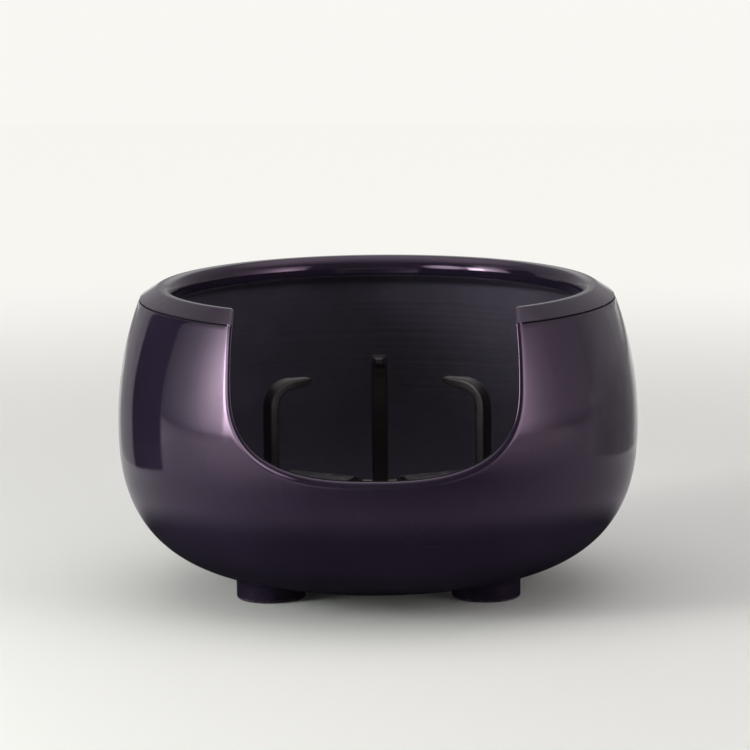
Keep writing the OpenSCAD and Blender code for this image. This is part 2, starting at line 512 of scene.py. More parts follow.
@dataclass(frozen=True)
class FootClay(BurnishedClay):
    """The same clay, duller, with grey wear where a foot rubs the ground."""

    name: str = "foot_clay"
    base: Cloud = Cloud(30.0, 4.0)
    dull: Pair = (0.12, 0.22)
    reliefs: Reliefs = ((Cloud(60.0, 2.0), 0.00008),)
    layers: Layers = (
        Layer((Mask(Face.HEIGHT, Span(0.0004, 0.0026, 1.0, 0.0)),
               Mask(Cloud(240.0, 5.0, 0.65), Span(0.42, 0.62, 0.15, 0.9))), (0.045, 0.038, 0.036), dull=0.4),
    )


@dataclass(frozen=True)
class SmokedClay(Layered):
    """Unpolished clay inside the bowl: drifts of soot over brown-black clay with the turner's rings. Made
    near black, it also serves as the painted shade in the rim's groove.
    """

    name: str = "smoked_clay"
    base: Cloud = Cloud(22.0, 5.0, 0.6)
    tones: Stops = ((0.3, (0.042, 0.036, 0.058)), (0.55, (0.060, 0.052, 0.080)),
                    (0.78, (0.082, 0.070, 0.096)))
    dull: Pair = (0.62, 0.86)
    reliefs: Reliefs = ((TURNED_RINGS, 0.00035), (Cloud(900.0, 4.0, 0.65), 0.00012))
    ior: float = 1.45


@dataclass(frozen=True)
class LiningPaper(Layered):
    """Handmade paper: cream fibres with tan scorch marks."""

    name: str = "handmade_paper"
    base: Cloud = FIBRES
    tones: Stops = ((0.3, (0.55, 0.49, 0.38)), (0.7, (0.76, 0.71, 0.60)))
    dull: Pair = (0.8, 0.95)
    reliefs: Reliefs = ((FIBRES, 0.00012),)
    layers: Layers = (
        Layer((Mask(Cloud(26.0, 4.0, 0.6), Span(0.5, 0.72, 0.0, 0.8)),), (0.20, 0.12, 0.065)),
    )


@dataclass(frozen=True)
class Earthenware(Layered):
    """Unglazed tile clay: red-brown with pale scum and open pores, under soot and a dusting of ash."""

    name: str = "earthenware"
    base: Cloud = Cloud(45.0, 5.0, 0.6)
    tones: Stops = ((0.32, (0.36, 0.165, 0.085)), (0.7, (0.50, 0.27, 0.16)))
    dull: Pair = (0.78, 0.94)
    reliefs: Reliefs = ((Cloud(240.0, 5.0, 0.65), 0.00032),
                        (Mask(Cells(420.0), Span(0.05, 0.30, 0.0, 1.0)), 0.00016))
    layers: Layers = (
        Layer((Mask(Cloud(24.0, 5.0, 0.62, 0.6), Span(0.46, 0.70, 0.0, 0.55)),), (0.035, 0.026, 0.022)),
        Layer((Mask(Cloud(160.0, 6.0, 0.7), Span(0.56, 0.74, 0.0, 0.55)),), (0.62, 0.58, 0.52)),
    )


@dataclass(frozen=True)
class SiftedAsh(Layered):
    """Fine grey-white wood ash: soft greys with a powdery grain and, in places, dark specks of charcoal."""

    name: str = "sifted_ash"
    base: Cloud = Cloud(34.0, 5.0, 0.6)
    tones: Stops = ((0.3, (0.40, 0.385, 0.36)), (0.7, (0.60, 0.585, 0.555)))
    dull: Pair = (0.92, 1.0)
    reliefs: Reliefs = ((Cloud(420.0, 6.0, 0.7), 0.0005), (Cloud(2400.0, 3.0, 0.6), 0.00014))
    layers: Layers = (
        Layer((Mask(Cells(520.0), Span(0.02, 0.11, 0.85, 0.0)),
               Mask(Cloud(70.0, 2.0), Span(0.54, 0.66, 0.0, 1.0))), (0.05, 0.048, 0.046)),
    )
    shine: float = 0.2


@dataclass(frozen=True)
class ForgedIron(Layered):
    """Hammered iron: grey-black fire scale, brown rust in places and a dusting of ash."""

    name: str = "forged_iron"
    base: Cloud = Cloud(85.0, 5.0, 0.6)
    tones: Stops = ((0.3, (0.030, 0.029, 0.030)), (0.6, (0.062, 0.058, 0.055)), (0.8, (0.11, 0.10, 0.095)))
    dull: Pair = (0.44, 0.62)
    reliefs: Reliefs = ((Cells(150.0), 0.00022), (Cloud(900.0, 5.0, 0.65), 0.00009))
    layers: Layers = (
        Layer((Mask(Cloud(130.0, 6.0, 0.68, 0.4), Span(0.52, 0.68, 0.0, 0.75)),), (0.115, 0.046, 0.021),
              dull=0.3, metal=Span(0.0, 0.75, 0.75, 0.1)),
        Layer((Mask(Face.UPWARD, Span(0.45, 0.95, 0.0, 0.45)),
               Mask(Cloud(210.0, 5.0, 0.7), Span(0.46, 0.62, 0.0, 1.0))), (0.46, 0.44, 0.41)),
    )


@dataclass(frozen=True)
class OakCharcoal(Layered):
    """Sawn round charcoal: grey-black carbon with a faint sheen and a bloom of ash on its back."""

    name: str = "oak_charcoal"
    base: Cloud = Cloud(120.0, 5.0, 0.6)
    tones: Stops = ((0.3, (0.009, 0.009, 0.010)), (0.7, (0.026, 0.025, 0.025)))
    dull: Pair = (0.38, 0.6)
    reliefs: Reliefs = ((Cloud(480.0, 5.0, 0.65), 0.0003), (Cloud(1900.0, 3.0, 0.6), 0.00008))
    layers: Layers = (
        Layer((Mask(Face.UPWARD, Span(-0.2, 0.9, 0.01, 0.25)),
               Mask(Cloud(150.0, 6.0, 0.72), Span(0.47, 0.68, 0.0, 1.0))), (0.24, 0.225, 0.23), dull=0.5),
    )


@dataclass(frozen=True)
class StudioFloor(Finish):
    """Plain pale ground that is white far from the object."""

    name: str = "studio_floor"
    mottle: Cloud = Cloud(1.4, 2.0)
    tones: Stops = ((0.3, (0.7683, 0.788, 0.73875)), (0.7, (0.78, 0.80, 0.75)))
    away: Span = Span(0.45, 1.5, 0.0, 1.0)
    far: Colour = (0.93, 0.915, 0.875)
    dull: float = 0.85
    shine: float = 0.1

    def paint(self, box: Paint) -> bpy.types.Material:
        """Matt paint that keeps the shadow, and shines at its own colour in the distance.

        Args:
            box: Paint of the new material.

        Returns:
            The material.
        """
        away = box.span(box.distance(ORIGIN), self.away, "SMOOTHSTEP")
        rays = box.add("ShaderNodeLightPath").outputs
        seen = box.sums("ADD", *(rays[f"Is {kind} Ray"] for kind in ("Camera", "Glossy", "Transmission")))
        return box.shade(
            Base_Color=box.over(away, box.ramp(box.values(self.mottle), self.tones), BLACK),
            Emission_Strength=box.sums("MULTIPLY", box.sums("MINIMUM", seen, 1.0), away),
            Emission_Color=self.far, Roughness=self.dull, Specular_IOR_Level=self.shine,
        )


@dataclass(frozen=True)
class WindowGlow(Finish):
    """Cloth of a soft window, brightest at one point."""

    name: str
    hot: Triple
    reach: float
    tall: float
    peak: float
    fall: Fall
    tint: Colour = WHITE
    foot_z: float = 0.0
    foot: float = 1.0

    def paint(self, box: Paint) -> bpy.types.Material:
        """Glow that falls away from the brightest point, and towards the window's foot.

        Args:
            box: Paint of the new material.

        Returns:
            The material.
        """
        squash = (1.0 / self.reach, 1.0 / self.reach, self.tall / self.reach)
        share = box.distance(tuple(h * k for h, k in zip(self.hot, squash)), squash)
        glow = box.sums("MULTIPLY", box.greys(share, self.fall), self.peak)
        if self.foot_z > 0.0:
            glow = box.sums("MULTIPLY", glow, box.span(box.part("Z"), (0.0, self.foot_z, self.foot, 1.0)))
        return box.matt(Base_Color=BLACK, Emission_Strength=glow, Emission_Color=self.tint)


@dataclass(frozen=True)
class Card(Finish):
    """Matt card of one tone with a trace of cloudiness, whose edges may fade away."""

    name: str = "black_card"
    tone: float = 0.006
    middle: Plan = (0.0, 0.0)
    half_w: float = 0.0
    high: float = 1.0
    mottle: Cloud = Cloud(20.0, 2.0)
    uneven: Fall = ((0.3, 0.9), (0.7, 1.1))
    fade: Span = Span(0.45, 1.0, 1.0, 0.0)

    def paint(self, box: Paint) -> bpy.types.Material:
        """One cloudy tone, thinner towards the edges if it has a width to fade over.

        Args:
            box: Paint of the new material.

        Returns:
            The material.
        """
        levels = [(position, self.tone * level) for position, level in self.uneven]
        if self.half_w > 0.0:
            squash = (1.0 / self.half_w, 1.0 / self.half_w, 1.0 / self.high)
            share = box.distance((self.middle[0] * squash[0], self.middle[1] * squash[1], 0.0), squash)
            box.shade(Alpha=box.span(share, self.fade, "SMOOTHSTEP"))
        return box.matt(Base_Color=box.greys(box.values(self.mottle), levels))


@dataclass(frozen=True)
class GroundCard(Finish):
    """Grey card on the floor, dark near the object and in front, open where the floor shines through."""

    name: str = "ground_card"
    near: Colour = (0.03, 0.03, 0.03)
    edge: Span = Span(0.19, 0.27, 1.0, 0.0)
    tones: Fall = ((0.0, 0.12), (1.0, 0.48))
    front_to_back: Span = Span(-0.5, -0.05, 0.0, 1.0)
    open_at: tuple[Plan, ...] = ((-0.9, -0.8), (1.15, -0.75), (-0.9, 0.75), (0.75, 0.9))
    open_edge: Span = Span(0.5, 0.95, 0.0, 1.0)

    def paint(self, box: Paint) -> bpy.types.Material:
        """Three tones, thinner towards the open places.

        Args:
            box: Paint of the new material.

        Returns:
            The material.
        """
        plain = box.greys(box.span(box.part("Y"), self.front_to_back, "SMOOTHSTEP"), self.tones)
        inside = box.span(box.distance(ORIGIN), self.edge, "SMOOTHSTEP")
        away = [box.distance((*place, 0.0)) for place in self.open_at]
        covers = [box.span(distance, self.open_edge, "SMOOTHSTEP") for distance in away]
        return box.matt(Base_Color=box.over(inside, plain, self.near), Alpha=box.sums("MINIMUM", *covers))


class Skin:
    """Grids of points that are welded into one closed mesh."""

    def __init__(self) -> None:
        """Starts with nothing."""
        self.points: list[np.ndarray] = []
        self.faces: list[tuple[int, ...]] = []
        self.slots: list[int] = []
        self.count = 0

    def grid(self, points: np.ndarray, slot: int = 0, wrap: bool = False) -> None:
        """Adds a grid of faces.

        Args:
            points: Rows by columns by three.
            slot: Material slot of the faces.
            wrap: True if the last column joins the first.
        """
        rows, cols = points.shape[:2]
        start = self.count
        self.points.append(points.reshape(-1, 3))
        self.count += rows * cols
        for i in range(rows - 1):
            for j in range(cols if wrap else cols - 1):
                k = (j + 1) % cols
                low, high = start + i * cols, start + (i + 1) * cols
                self.faces.append((low + j, low + k, high + k, high + j))
        self.slots.extend([slot] * (len(self.faces) - len(self.slots)))

    def piece(self, name: str, *finishes: Finish) -> bpy.types.Object:
        """Welds the grids.

        Args:
            name: Name of the piece.
            finishes: Finish of each material slot.

        Returns:
            The new object, at the origin.
        """
        mesh = bpy.data.meshes.new(name)
        mesh.from_pydata((np.concatenate(self.points) * MM).tolist(), [], self.faces)
        mesh.polygons.foreach_set("material_index", self.slots)
        shell = bmesh.new()
        shell.from_mesh(mesh)
        bmesh.ops.remove_doubles(shell, verts=shell.verts, dist=WELD)
        bmesh.ops.recalc_face_normals(shell, faces=shell.faces)
        open_edges = sum(1 for e in shell.edges if not e.is_manifold)
        shell.to_mesh(mesh)
        shell.free()
        mesh.polygons.foreach_set("use_smooth", [True] * len(mesh.polygons))
        if open_edges:
            LOG.warning("%s has %d open edges", name, open_edges)
        return placed(mesh, *finishes)


def placed(mesh: bpy.types.Mesh, *finishes: Finish) -> bpy.types.Object:
    """Adds an object of the mesh's name to the scene.

    Args:
        mesh: Its mesh.
        finishes: Finish of each material slot.

    Returns:
        The object, at the origin.
    """
    for finish in finishes:
        mesh.materials.append(finish.material())
    thing = bpy.data.objects.new(mesh.name, mesh)
    bpy.context.scene.collection.objects.link(thing)
    return thing


def wrapped(name: str, points: np.ndarray, finish: Finish) -> bpy.types.Object:
    """Builds a piece of one grid whose last column joins the first.

    Args:
        name: Name of the piece.
        points: Rows by columns by three.
        finish: Its finish.

    Returns:
        The closed piece.
    """
    skin = Skin()
    skin.grid(points, wrap=True)
    return skin.piece(name, finish)


def settle(piece: bpy.types.Object, body: str, slot: str, *nodes: str) -> None:
    """Puts a finished piece in its place in the frame.

    Args:
        piece: The piece.
        body: Body it moves with.
        slot: Material slot of the record. Not used.
        nodes: CAD nodes it stands for.
    """
    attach(piece, body)
    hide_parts(*nodes)
    LOG.info("%s: %d faces on %s", piece.name, len(piece.data.polygons), body)


@dataclass
class Bowl:
    """The turned clay bowl with its rim and its fire opening."""

    body_d: float = 334.9
    foot_h: float = 12.0
    belly_h: float = 98.0
    wall_h: float = 79.5
    shoulder_in: float = 15.0
    wall_t: float = 9.0
    floor_t: float = 11.0
    curve_in: float = 50.0
    curve_over: float = 2.0
    side_full: float = 2.8
    under_full: float = 2.55
    rim_h: float = 7.5
    rim_w: float = 21.5
    lip_r: float = 8.5
    crown_edge_r: float = 5.0
    rim_t: float = 13.0
    rim_blend: float = 12.0
    under_rim_r: float = 3.0
    groove_w: float = 1.6
    groove_t: float = 0.8
    groove_dark: float = 0.3
    opening_w: float = 176.5
    opening_top_w: float = 173.5
    sill_h: float = 86.0
    opening_curve_h: float = 58.0
    opening_full: float = 2.9
    edge_r: float = 2.6
    edge_roll: float = 4.8
    inner_edge_r: float = 2.2
    rim_roll: float = 3.2
    rim_ease: float = 5.0
    edge_reach: float = 1.8
    frame_a: float = math.radians(62.0)
    frame_z: float = 64.0
    below_floor: float = 4.0
    near_mouth: float = 3.0
    side_rows: int = 44
    sill_cols: int = 60
    back_cols: int = 112
    strip_cols: int = 20
    strip_power: float = 1.35
    edge_rows: int = 9
    cut_cols: int = 4
    lower_rows: int = 34
    base_rows: int = 9
    groove_rows: int = 11
    slope_shares: tuple[float, ...] = (0.025, 0.07, 0.16, 0.32, 0.52, 0.76)
    crown_rows: int = 12
    lip_rows: int = 15
    mouth_rows: int = 4
    under_edge_rows: int = 8
    under_rim_rows: int = 10
    fine: int = 1500
    fine_low: int = 4000
    fine_high: int = 400
    fine_straight: int = 200
    finish: Finish = BurnishedClay()
    inside: Finish = SmokedClay()
    # near-black, barely shining painted shade in the groove under the rim, standing in for the shadow that
    # falls there
    groove_shade: Finish = SmokedClay(
        "groove_painted_shade", shine=0.1,
        tones=((0.3, (0.003, 0.003, 0.004)), (0.55, (0.006, 0.005, 0.007)), (0.78, (0.010, 0.009, 0.011))),
    )

    def __post_init__(self) -> None:
        """Works out the derived sizes and the inner wall's line."""
        self.belly_r = self.body_d / 2
        self.belly_z = self.foot_h + self.belly_h
        self.shoulder_z = self.belly_z + self.wall_h
        self.shoulder_r = self.belly_r - self.shoulder_in
        self.rim_z = self.shoulder_z + self.rim_h
        self.mouth_r = self.shoulder_r - self.rim_w
        self.crown_r = self.mouth_r + self.lip_r
        self.floor_z = self.foot_h + self.floor_t
        self.spring_z = self.foot_h + self.sill_h + self.opening_curve_h
        self.straight_h = self.shoulder_z - self.spring_z
        self.lower_a = self.belly_r - self.curve_in
        self.lower_b = self.belly_h + self.curve_over
        self.upper_r = (self.shoulder_in ** 2 + self.wall_h ** 2) / (2 * self.shoulder_in)
        self.inner_line = self.inner_wall(self.wall_t)

    def lower_wall(self, t: np.ndarray, inwards: float) -> np.ndarray:
        """Lower wall.

        Args:
            t: Angles in radians, from 0 at the belly to a quarter turn at the underside.
            inwards: Distance inside the outer face.

        Returns:
            Radius and height for each angle.
        """
        u = np.cos(t) ** (2 / self.side_full)
        v = np.sin(t) ** (2 / self.under_full)
        n = np.stack([
            self.side_full * u ** (self.side_full - 1) / self.lower_a,
            -self.under_full * v ** (self.under_full - 1) / self.lower_b,
        ], axis=-1)
        n /= np.linalg.norm(n, axis=-1, keepdims=True)
        line = np.stack([self.curve_in + self.lower_a * u, self.belly_z - self.lower_b * v], axis=-1)
        return line - inwards * n

    def upper_wall(self, h: np.ndarray, inwards: float) -> np.ndarray:
        """Upper wall.

        Args:
            h: Heights above the belly on the outer face.
            inwards: Distance inside the outer face.

        Returns:
            Radius and height for each point.
        """
        centre = (self.belly_r - self.upper_r, self.belly_z)
        return arc(centre, self.upper_r - inwards, np.arcsin(h / self.upper_r))

    def inner_wall(self, inwards: float) -> np.ndarray:
        """Close line of a wall, from the floor to under the rim.

        Args:
            inwards: Distance inside the outer face.

        Returns:
            Radius and height of each point.
        """
        low = self.lower_wall(np.linspace(QUARTER, 0.0, self.fine_low), inwards)
        high = self.upper_wall(np.linspace(0.0, self.wall_h, self.fine_high)[1:], inwards)
        line = np.concatenate([low, high])
        return line[np.argmax(line[:, 1] > self.floor_z - self.below_floor):]

    def outer_radius(self, z: np.ndarray) -> np.ndarray:
        """Radius of the outer face.

        Args:
            z: Heights.

        Returns:
            Radius at each height.
        """
        drop = np.clip((self.belly_z - z) / self.lower_b, 0.0, 1.0)
        low = self.curve_in + self.lower_a * (1 - drop ** self.under_full) ** (1 / self.side_full)
        rise = np.clip(z - self.belly_z, 0.0, self.wall_h)
        high = self.belly_r - self.upper_r + np.sqrt(self.upper_r ** 2 - rise ** 2)
        return np.where(z < self.belly_z, low, high)

    def inner_radius(self, z: np.ndarray) -> np.ndarray:
        """Radius of the inner face at each height."""
        return np.interp(z, self.inner_line[:, 1], self.inner_line[:, 0])

    def face_radius(self, inner: bool, z: np.ndarray) -> np.ndarray:
        """Radius of the inner or the outer face at each height."""
        return self.inner_radius(z) if inner else self.outer_radius(z)

    def on_face(self, inner: bool, angle: np.ndarray, z: np.ndarray) -> np.ndarray:
        """Points on the inner or the outer face, at angles and heights."""
        return turned(self.face_radius(inner, z), angle, z)

    def underside(self, r: np.ndarray) -> np.ndarray:
        """Height of the bowl's underside.

        Args:
            r: Radii.

        Returns:
            Height at each radius.
        """
        u = np.clip((r - self.curve_in) / self.lower_a, 0.0, 1.0)
        curve = self.belly_z - self.lower_b * (1 - u ** self.side_full) ** (1 / self.under_full)
        return np.maximum(self.foot_h, curve)

    def half_width(self, z: np.ndarray) -> np.ndarray:
        """Half width of the opening above its rounded part, the same all through the rim."""
        share = (np.minimum(z, self.shoulder_z) - self.spring_z) / self.straight_h
        return self.opening_w / 2 - (self.opening_w - self.opening_top_w) / 2 * share ** 2

    def rim_section(self) -> tuple[np.ndarray, np.ndarray]:
        """Section of the rim, from under the groove over the crown to the inner wall.

        Returns:
            The section's points without the groove, and the groove's depth at each.
        """
        t = np.linspace(0.0, 1.0, self.groove_rows)
        low = self.upper_wall(self.wall_h - self.groove_w * (1 - t), 0.0)
        centre = np.array([self.crown_r, self.rim_z - self.crown_edge_r])
        away = low[-1] - centre
        start = math.atan2(away[1], away[0]) + math.acos(self.crown_edge_r / np.linalg.norm(away))
        crown = arc(centre, self.crown_edge_r, np.linspace(start, QUARTER, self.crown_rows))
        slope = low[-1] + np.array(self.slope_shares)[:, None] * (crown[0] - low[-1])
        turn = np.linspace(QUARTER, math.pi, self.lip_rows)[1:]
        lip = arc((self.crown_r, self.rim_z - self.lip_r), self.lip_r, turn)
        corner = np.array([self.mouth_r, self.rim_z - self.rim_t])
        end_z = self.shoulder_z - self.rim_blend
        end = np.array([float(self.inner_radius(end_z)), end_z])
        bend = math.acos((corner - end)[1] / np.linalg.norm(end - corner))
        back = self.under_rim_r * math.tan(bend / 2)
        mouth = np.linspace(lip[-1], corner + [0.0, back], self.mouth_rows)[1:]
        turn = np.linspace(math.pi, math.pi + bend, self.under_edge_rows)[1:]
        round_edge = arc(corner + [self.under_rim_r, back], self.under_rim_r, turn)
        under = np.linspace(round_edge[-1], end, self.under_rim_rows)[1:]
        line = np.concatenate([low, slope, crown, lip, mouth, round_edge, under])
        line = line if len(line) % 2 else np.insert(line, -1, (line[-1] + line[-2]) / 2, axis=0)
        depth = np.zeros(len(line))
        depth[:len(t)] = self.groove_t * np.sin(math.pi * t) ** 2
        return line, depth

    def opening_line(self, top_z: float) -> np.ndarray:
        """Outline of the opening seen from the front, from the left top down and up to the right.

        Args:
            top_z: Height at which the line starts and ends.

        Returns:
            Signed half width and height of each point.
        """
        t = np.linspace(0.0, QUARTER, self.fine)
        round_part = np.stack([
            self.opening_w / 2 * np.cos(t) ** (2 / self.opening_full),
            self.spring_z - self.opening_curve_h * np.sin(t) ** (2 / self.opening_full),
        ], axis=1)
        round_part[-1, 0] = 0.0
        z = np.linspace(top_z, self.spring_z, self.fine_straight)[:-1]
        straight = np.stack([self.half_width(z), z], axis=1)
        middle = len(t) // 2
        side = resample(np.concatenate([straight, round_part[:middle]]), self.side_rows)
        half_sill = resample(round_part[middle - 1:], self.sill_cols // 2)[1:]
        right = np.concatenate([side, half_sill])
        left = right * [-1.0, 1.0]
        return np.concatenate([left, right[-2::-1]])

    def frame_line(self, top_z: float) -> np.ndarray:
        """Edge of the patch round the opening, in step with opening_line.

        Args:
            top_z: Height at which the line starts and ends.

        Returns:
            Angle and height of each point.
        """
        rows = np.linspace(top_z, self.frame_z, self.side_rows + 1)
        cols = np.linspace(-self.frame_a, self.frame_a, self.sill_cols + 1)
        left = np.stack([np.full_like(rows, -self.frame_a), rows], axis=1)
        sill = np.stack([cols, np.full_like(cols, self.frame_z)], axis=1)[1:-1]
        return np.concatenate([left, sill, left[::-1] * [-1.0, 1.0]])

    def rim_rounding(self, section: np.ndarray) -> tuple[np.ndarray, np.ndarray]:
        """Rounding of the rim's ends along its section, from the outer edge's to the inner edge's.

        Args:
            section: Section of the rim.

        Returns:
            How far the rounding reaches along the rim, and into the cut, at each point.
        """
        along = travel(section)
        share = along / along[-1]
        roll = self.rim_roll + (self.inner_edge_r - self.rim_roll) * share
        roll += (self.edge_roll - self.rim_roll) * smooth_step(self.rim_ease, 0.0, along)
        return roll, self.edge_r + (self.inner_edge_r - self.edge_r) * share

    def edge(self, inner: bool, top_z: float, roll: float) -> tuple[np.ndarray, np.ndarray]:
        """Edge of the opening on one face of the wall.

        Args:
            inner: True for the inner face.
            top_z: Height at which the edge ends.
            roll: How far the edge's rounding reaches along the face.

        Returns:
            The sharp edge's points, and the start of the rounding as angle and height.
        """
        x, z = self.opening_line(top_z).T
        r = self.face_radius(inner, z)
        a = np.arcsin(x / r)
        across, up = np.gradient(z), -r * np.gradient(a)
        up[[0, -1]] = 0.0
        size = np.hypot(across, up)
        return turned(r, a, z), np.stack([a + roll * across / size / r, z + roll * up / size], axis=1)

    def lower_line(self, inner: bool) -> np.ndarray:
        """Line of the lower bowl, from the patch's lower edge in to the axis.

        Args:
            inner: True for the inner face.

        Returns:
            Radius and height of each point.
        """
        ground = self.floor_z if inner else self.foot_h
        z = ground + (self.frame_z - ground) * np.linspace(1.0, 0.0, self.fine) ** 2
        wall = np.stack([self.face_radius(inner, z), z], axis=1)
        base = np.linspace(wall[-1], [0.0, ground], self.base_rows)[1:]
        return np.concatenate([resample(wall, self.lower_rows), base])

    def build(self) -> bpy.types.Object:
        """Builds the bowl.

        Returns:
            The closed bowl.
        """
        skin = Skin()
        section, groove = self.rim_section()
        steps = np.linspace(0.0, 1.0, self.strip_cols + 1) ** self.strip_power
        back = np.linspace(self.frame_a, 2 * math.pi - self.frame_a, self.back_cols + 1)
        sill = np.linspace(-self.frame_a, self.frame_a, self.sill_cols + 1)
        whole = np.concatenate([sill, back[1:-1]])
        edges: Edges = {}
        for inner, top_z, roll, slot in ((False, section[0, 1], self.edge_roll, Clay.POLISHED),
                                         (True, section[-1, 1], self.inner_edge_r, Clay.SMOKED)):
            edges[inner] = self.edge(inner, top_z, roll)
            start, stop = edges[inner][1], self.frame_line(top_z)
            net = start[:, None, :] + steps[None, :, None] * (stop - start)[:, None, :]
            skin.grid(self.on_face(inner, net[..., 0], net[..., 1]), slot)
            rows = np.linspace(top_z, self.frame_z, self.side_rows + 1)
            skin.grid(self.on_face(inner, back[None, :], rows[:, None]), slot)
            low = self.lower_line(inner)
            skin.grid(turned(low[:, :1], whole[None, :], low[:, 1:]), slot, wrap=True)
        self.add_rim(skin, section, groove, steps, back)
        self.add_cut(skin, section, edges)
        return skin.piece("clay_bowl", self.finish, self.inside, self.groove_shade)

    def add_rim(
        self, skin: Skin, section: np.ndarray, groove: np.ndarray, steps: np.ndarray, back: np.ndarray
    ) -> None:
        """Adds the rim all round, from one side of the opening to the other.

        Args:
            skin: Mesh to add to.
            section: Section of the rim.
            groove: Depth of the groove at each point of the section.
            steps: Shares of the way across the patch.
            back: Angles of the back.
        """
        r, z = section.T
        cut = np.arcsin(self.half_width(z) / r) + self.rim_rounding(section)[0] / r
        near = cut[:, None] + steps[None, :] * (self.frame_a - cut)[:, None]
        angles = np.concatenate([
            near, np.repeat(back[None, 1:-1], len(r), axis=0), 2 * math.pi - near[:, ::-1]
        ], axis=1)
        fade = np.ones(angles.shape[1])
        fade[[0, -1]] = 0.0
        points = turned(r[:, None] - groove[:, None] * fade[None, :], angles, z[:, None])
        off_corner = np.abs(z - (self.rim_z - self.rim_t))
        polished = int(np.argmin(np.where(r > self.mouth_r + self.near_mouth, np.inf, off_corner)))
        # the deep middle of the groove gets the near-black painted shade
        first, last = np.flatnonzero(groove > self.groove_dark * self.groove_t)[[0, -1]]
        for start, stop, slot in ((0, first, Clay.POLISHED), (first, last, Clay.GROOVE),
                                  (last, polished, Clay.POLISHED), (polished, len(r) - 1, Clay.SMOKED)):
            skin.grid(points[start:stop + 1], slot)

    def add_cut(self, skin: Skin, section: np.ndarray, edges: Edges) -> None:
        """Adds the cut faces of the opening with their rounded edges.

        Args:
            skin: Mesh to add to.
            section: Section of the rim.
            edges: Edges of the opening on the outer and the inner face.
        """
        r, z = section.T
        a = np.arcsin(self.half_width(z) / r)
        rim_roll, rim_r = self.rim_rounding(section)
        right, right_start = turned(r, a, z), turned(r, a + rim_roll / r, z)
        flip = np.array([-1.0, 1.0, 1.0])
        outer, inner = edges[False][0], edges[True][0]
        outer_start, inner_start = (self.on_face(face, *edges[face][1].T) for face in (False, True))
        sharp = np.concatenate([outer, right[1:-1], inner[::-1], right[-2:0:-1] * flip])
        begun = np.concatenate([
            outer_start, right_start[1:-1], inner_start[::-1], right_start[-2:0:-1] * flip
        ])
        radius = np.concatenate([
            np.full(len(outer), self.edge_r), rim_r[1:-1],
            np.full(len(inner), self.inner_edge_r), rim_r[-2:0:-1],
        ])[:, None]
        inward = np.cross(loop_ways(sharp, self.edge_reach), self.cut_lean(sharp))
        inward /= np.linalg.norm(inward, axis=1, keepdims=True)
        turn = np.linspace(0.0, QUARTER, self.edge_rows + 1)[:, None, None]
        rounded = sharp + (begun - sharp) * (1 - np.sin(turn)) + radius * inward * (1 - np.cos(turn))
        skin.grid(np.concatenate([rounded, rounded[:, :1]], axis=1), Clay.POLISHED)
        n, half = len(outer), len(r) // 2
        out_face, right_face, in_face, left_face = np.split(rounded[-1], np.cumsum([n, len(r) - 2, n]))
        right_loop = np.concatenate([out_face[-1:], right_face, in_face[:1]])
        left_loop = np.concatenate([out_face[:1], left_face[::-1], in_face[-1:]])
        share = np.linspace(0.0, 1.0, self.cut_cols + 1)[:, None, None]
        for near, far in ((out_face, in_face[::-1]), (right_loop[:half + 1], right_loop[::-1][:half + 1]),
                          (left_loop[:half + 1], left_loop[::-1][:half + 1])):
            skin.grid(near + share * (far - near), Clay.POLISHED)

    def cut_lean(self, points: np.ndarray) -> np.ndarray:
        """Directions into the clay, square to the cut face.

        Args:
            points: Points of the cut's edge.

        Returns:
            A unit vector for each point.
        """
        x, z = np.abs(points[:, 0]), points[:, 2]
        half_w, power = self.opening_w / 2, self.opening_full - 1
        share = np.where(z < self.shoulder_z, z - self.spring_z, 0.0) / self.straight_h ** 2
        upper = np.stack([np.ones_like(z), (self.opening_w - self.opening_top_w) * share], axis=1)
        u = np.clip(x / half_w, 0.0, 1.0) ** power
        v = np.clip((self.spring_z - z) / self.opening_curve_h, 0.0, 1.0) ** power
        lower = np.stack([u / half_w, -v / self.opening_curve_h], axis=1)
        lean = np.where((z > self.spring_z)[:, None], upper, lower)
        lean /= np.linalg.norm(lean, axis=1, keepdims=True)
        side = np.where(points[:, 0] < 0, -1.0, 1.0)
        return np.stack([side * lean[:, 0], np.zeros_like(z), lean[:, 1]], axis=1)

    def dress(self) -> None:
        """Builds the bowl and puts it in the frame."""
        settle(self.build(), "brazier", "black_clay", "body_shell")


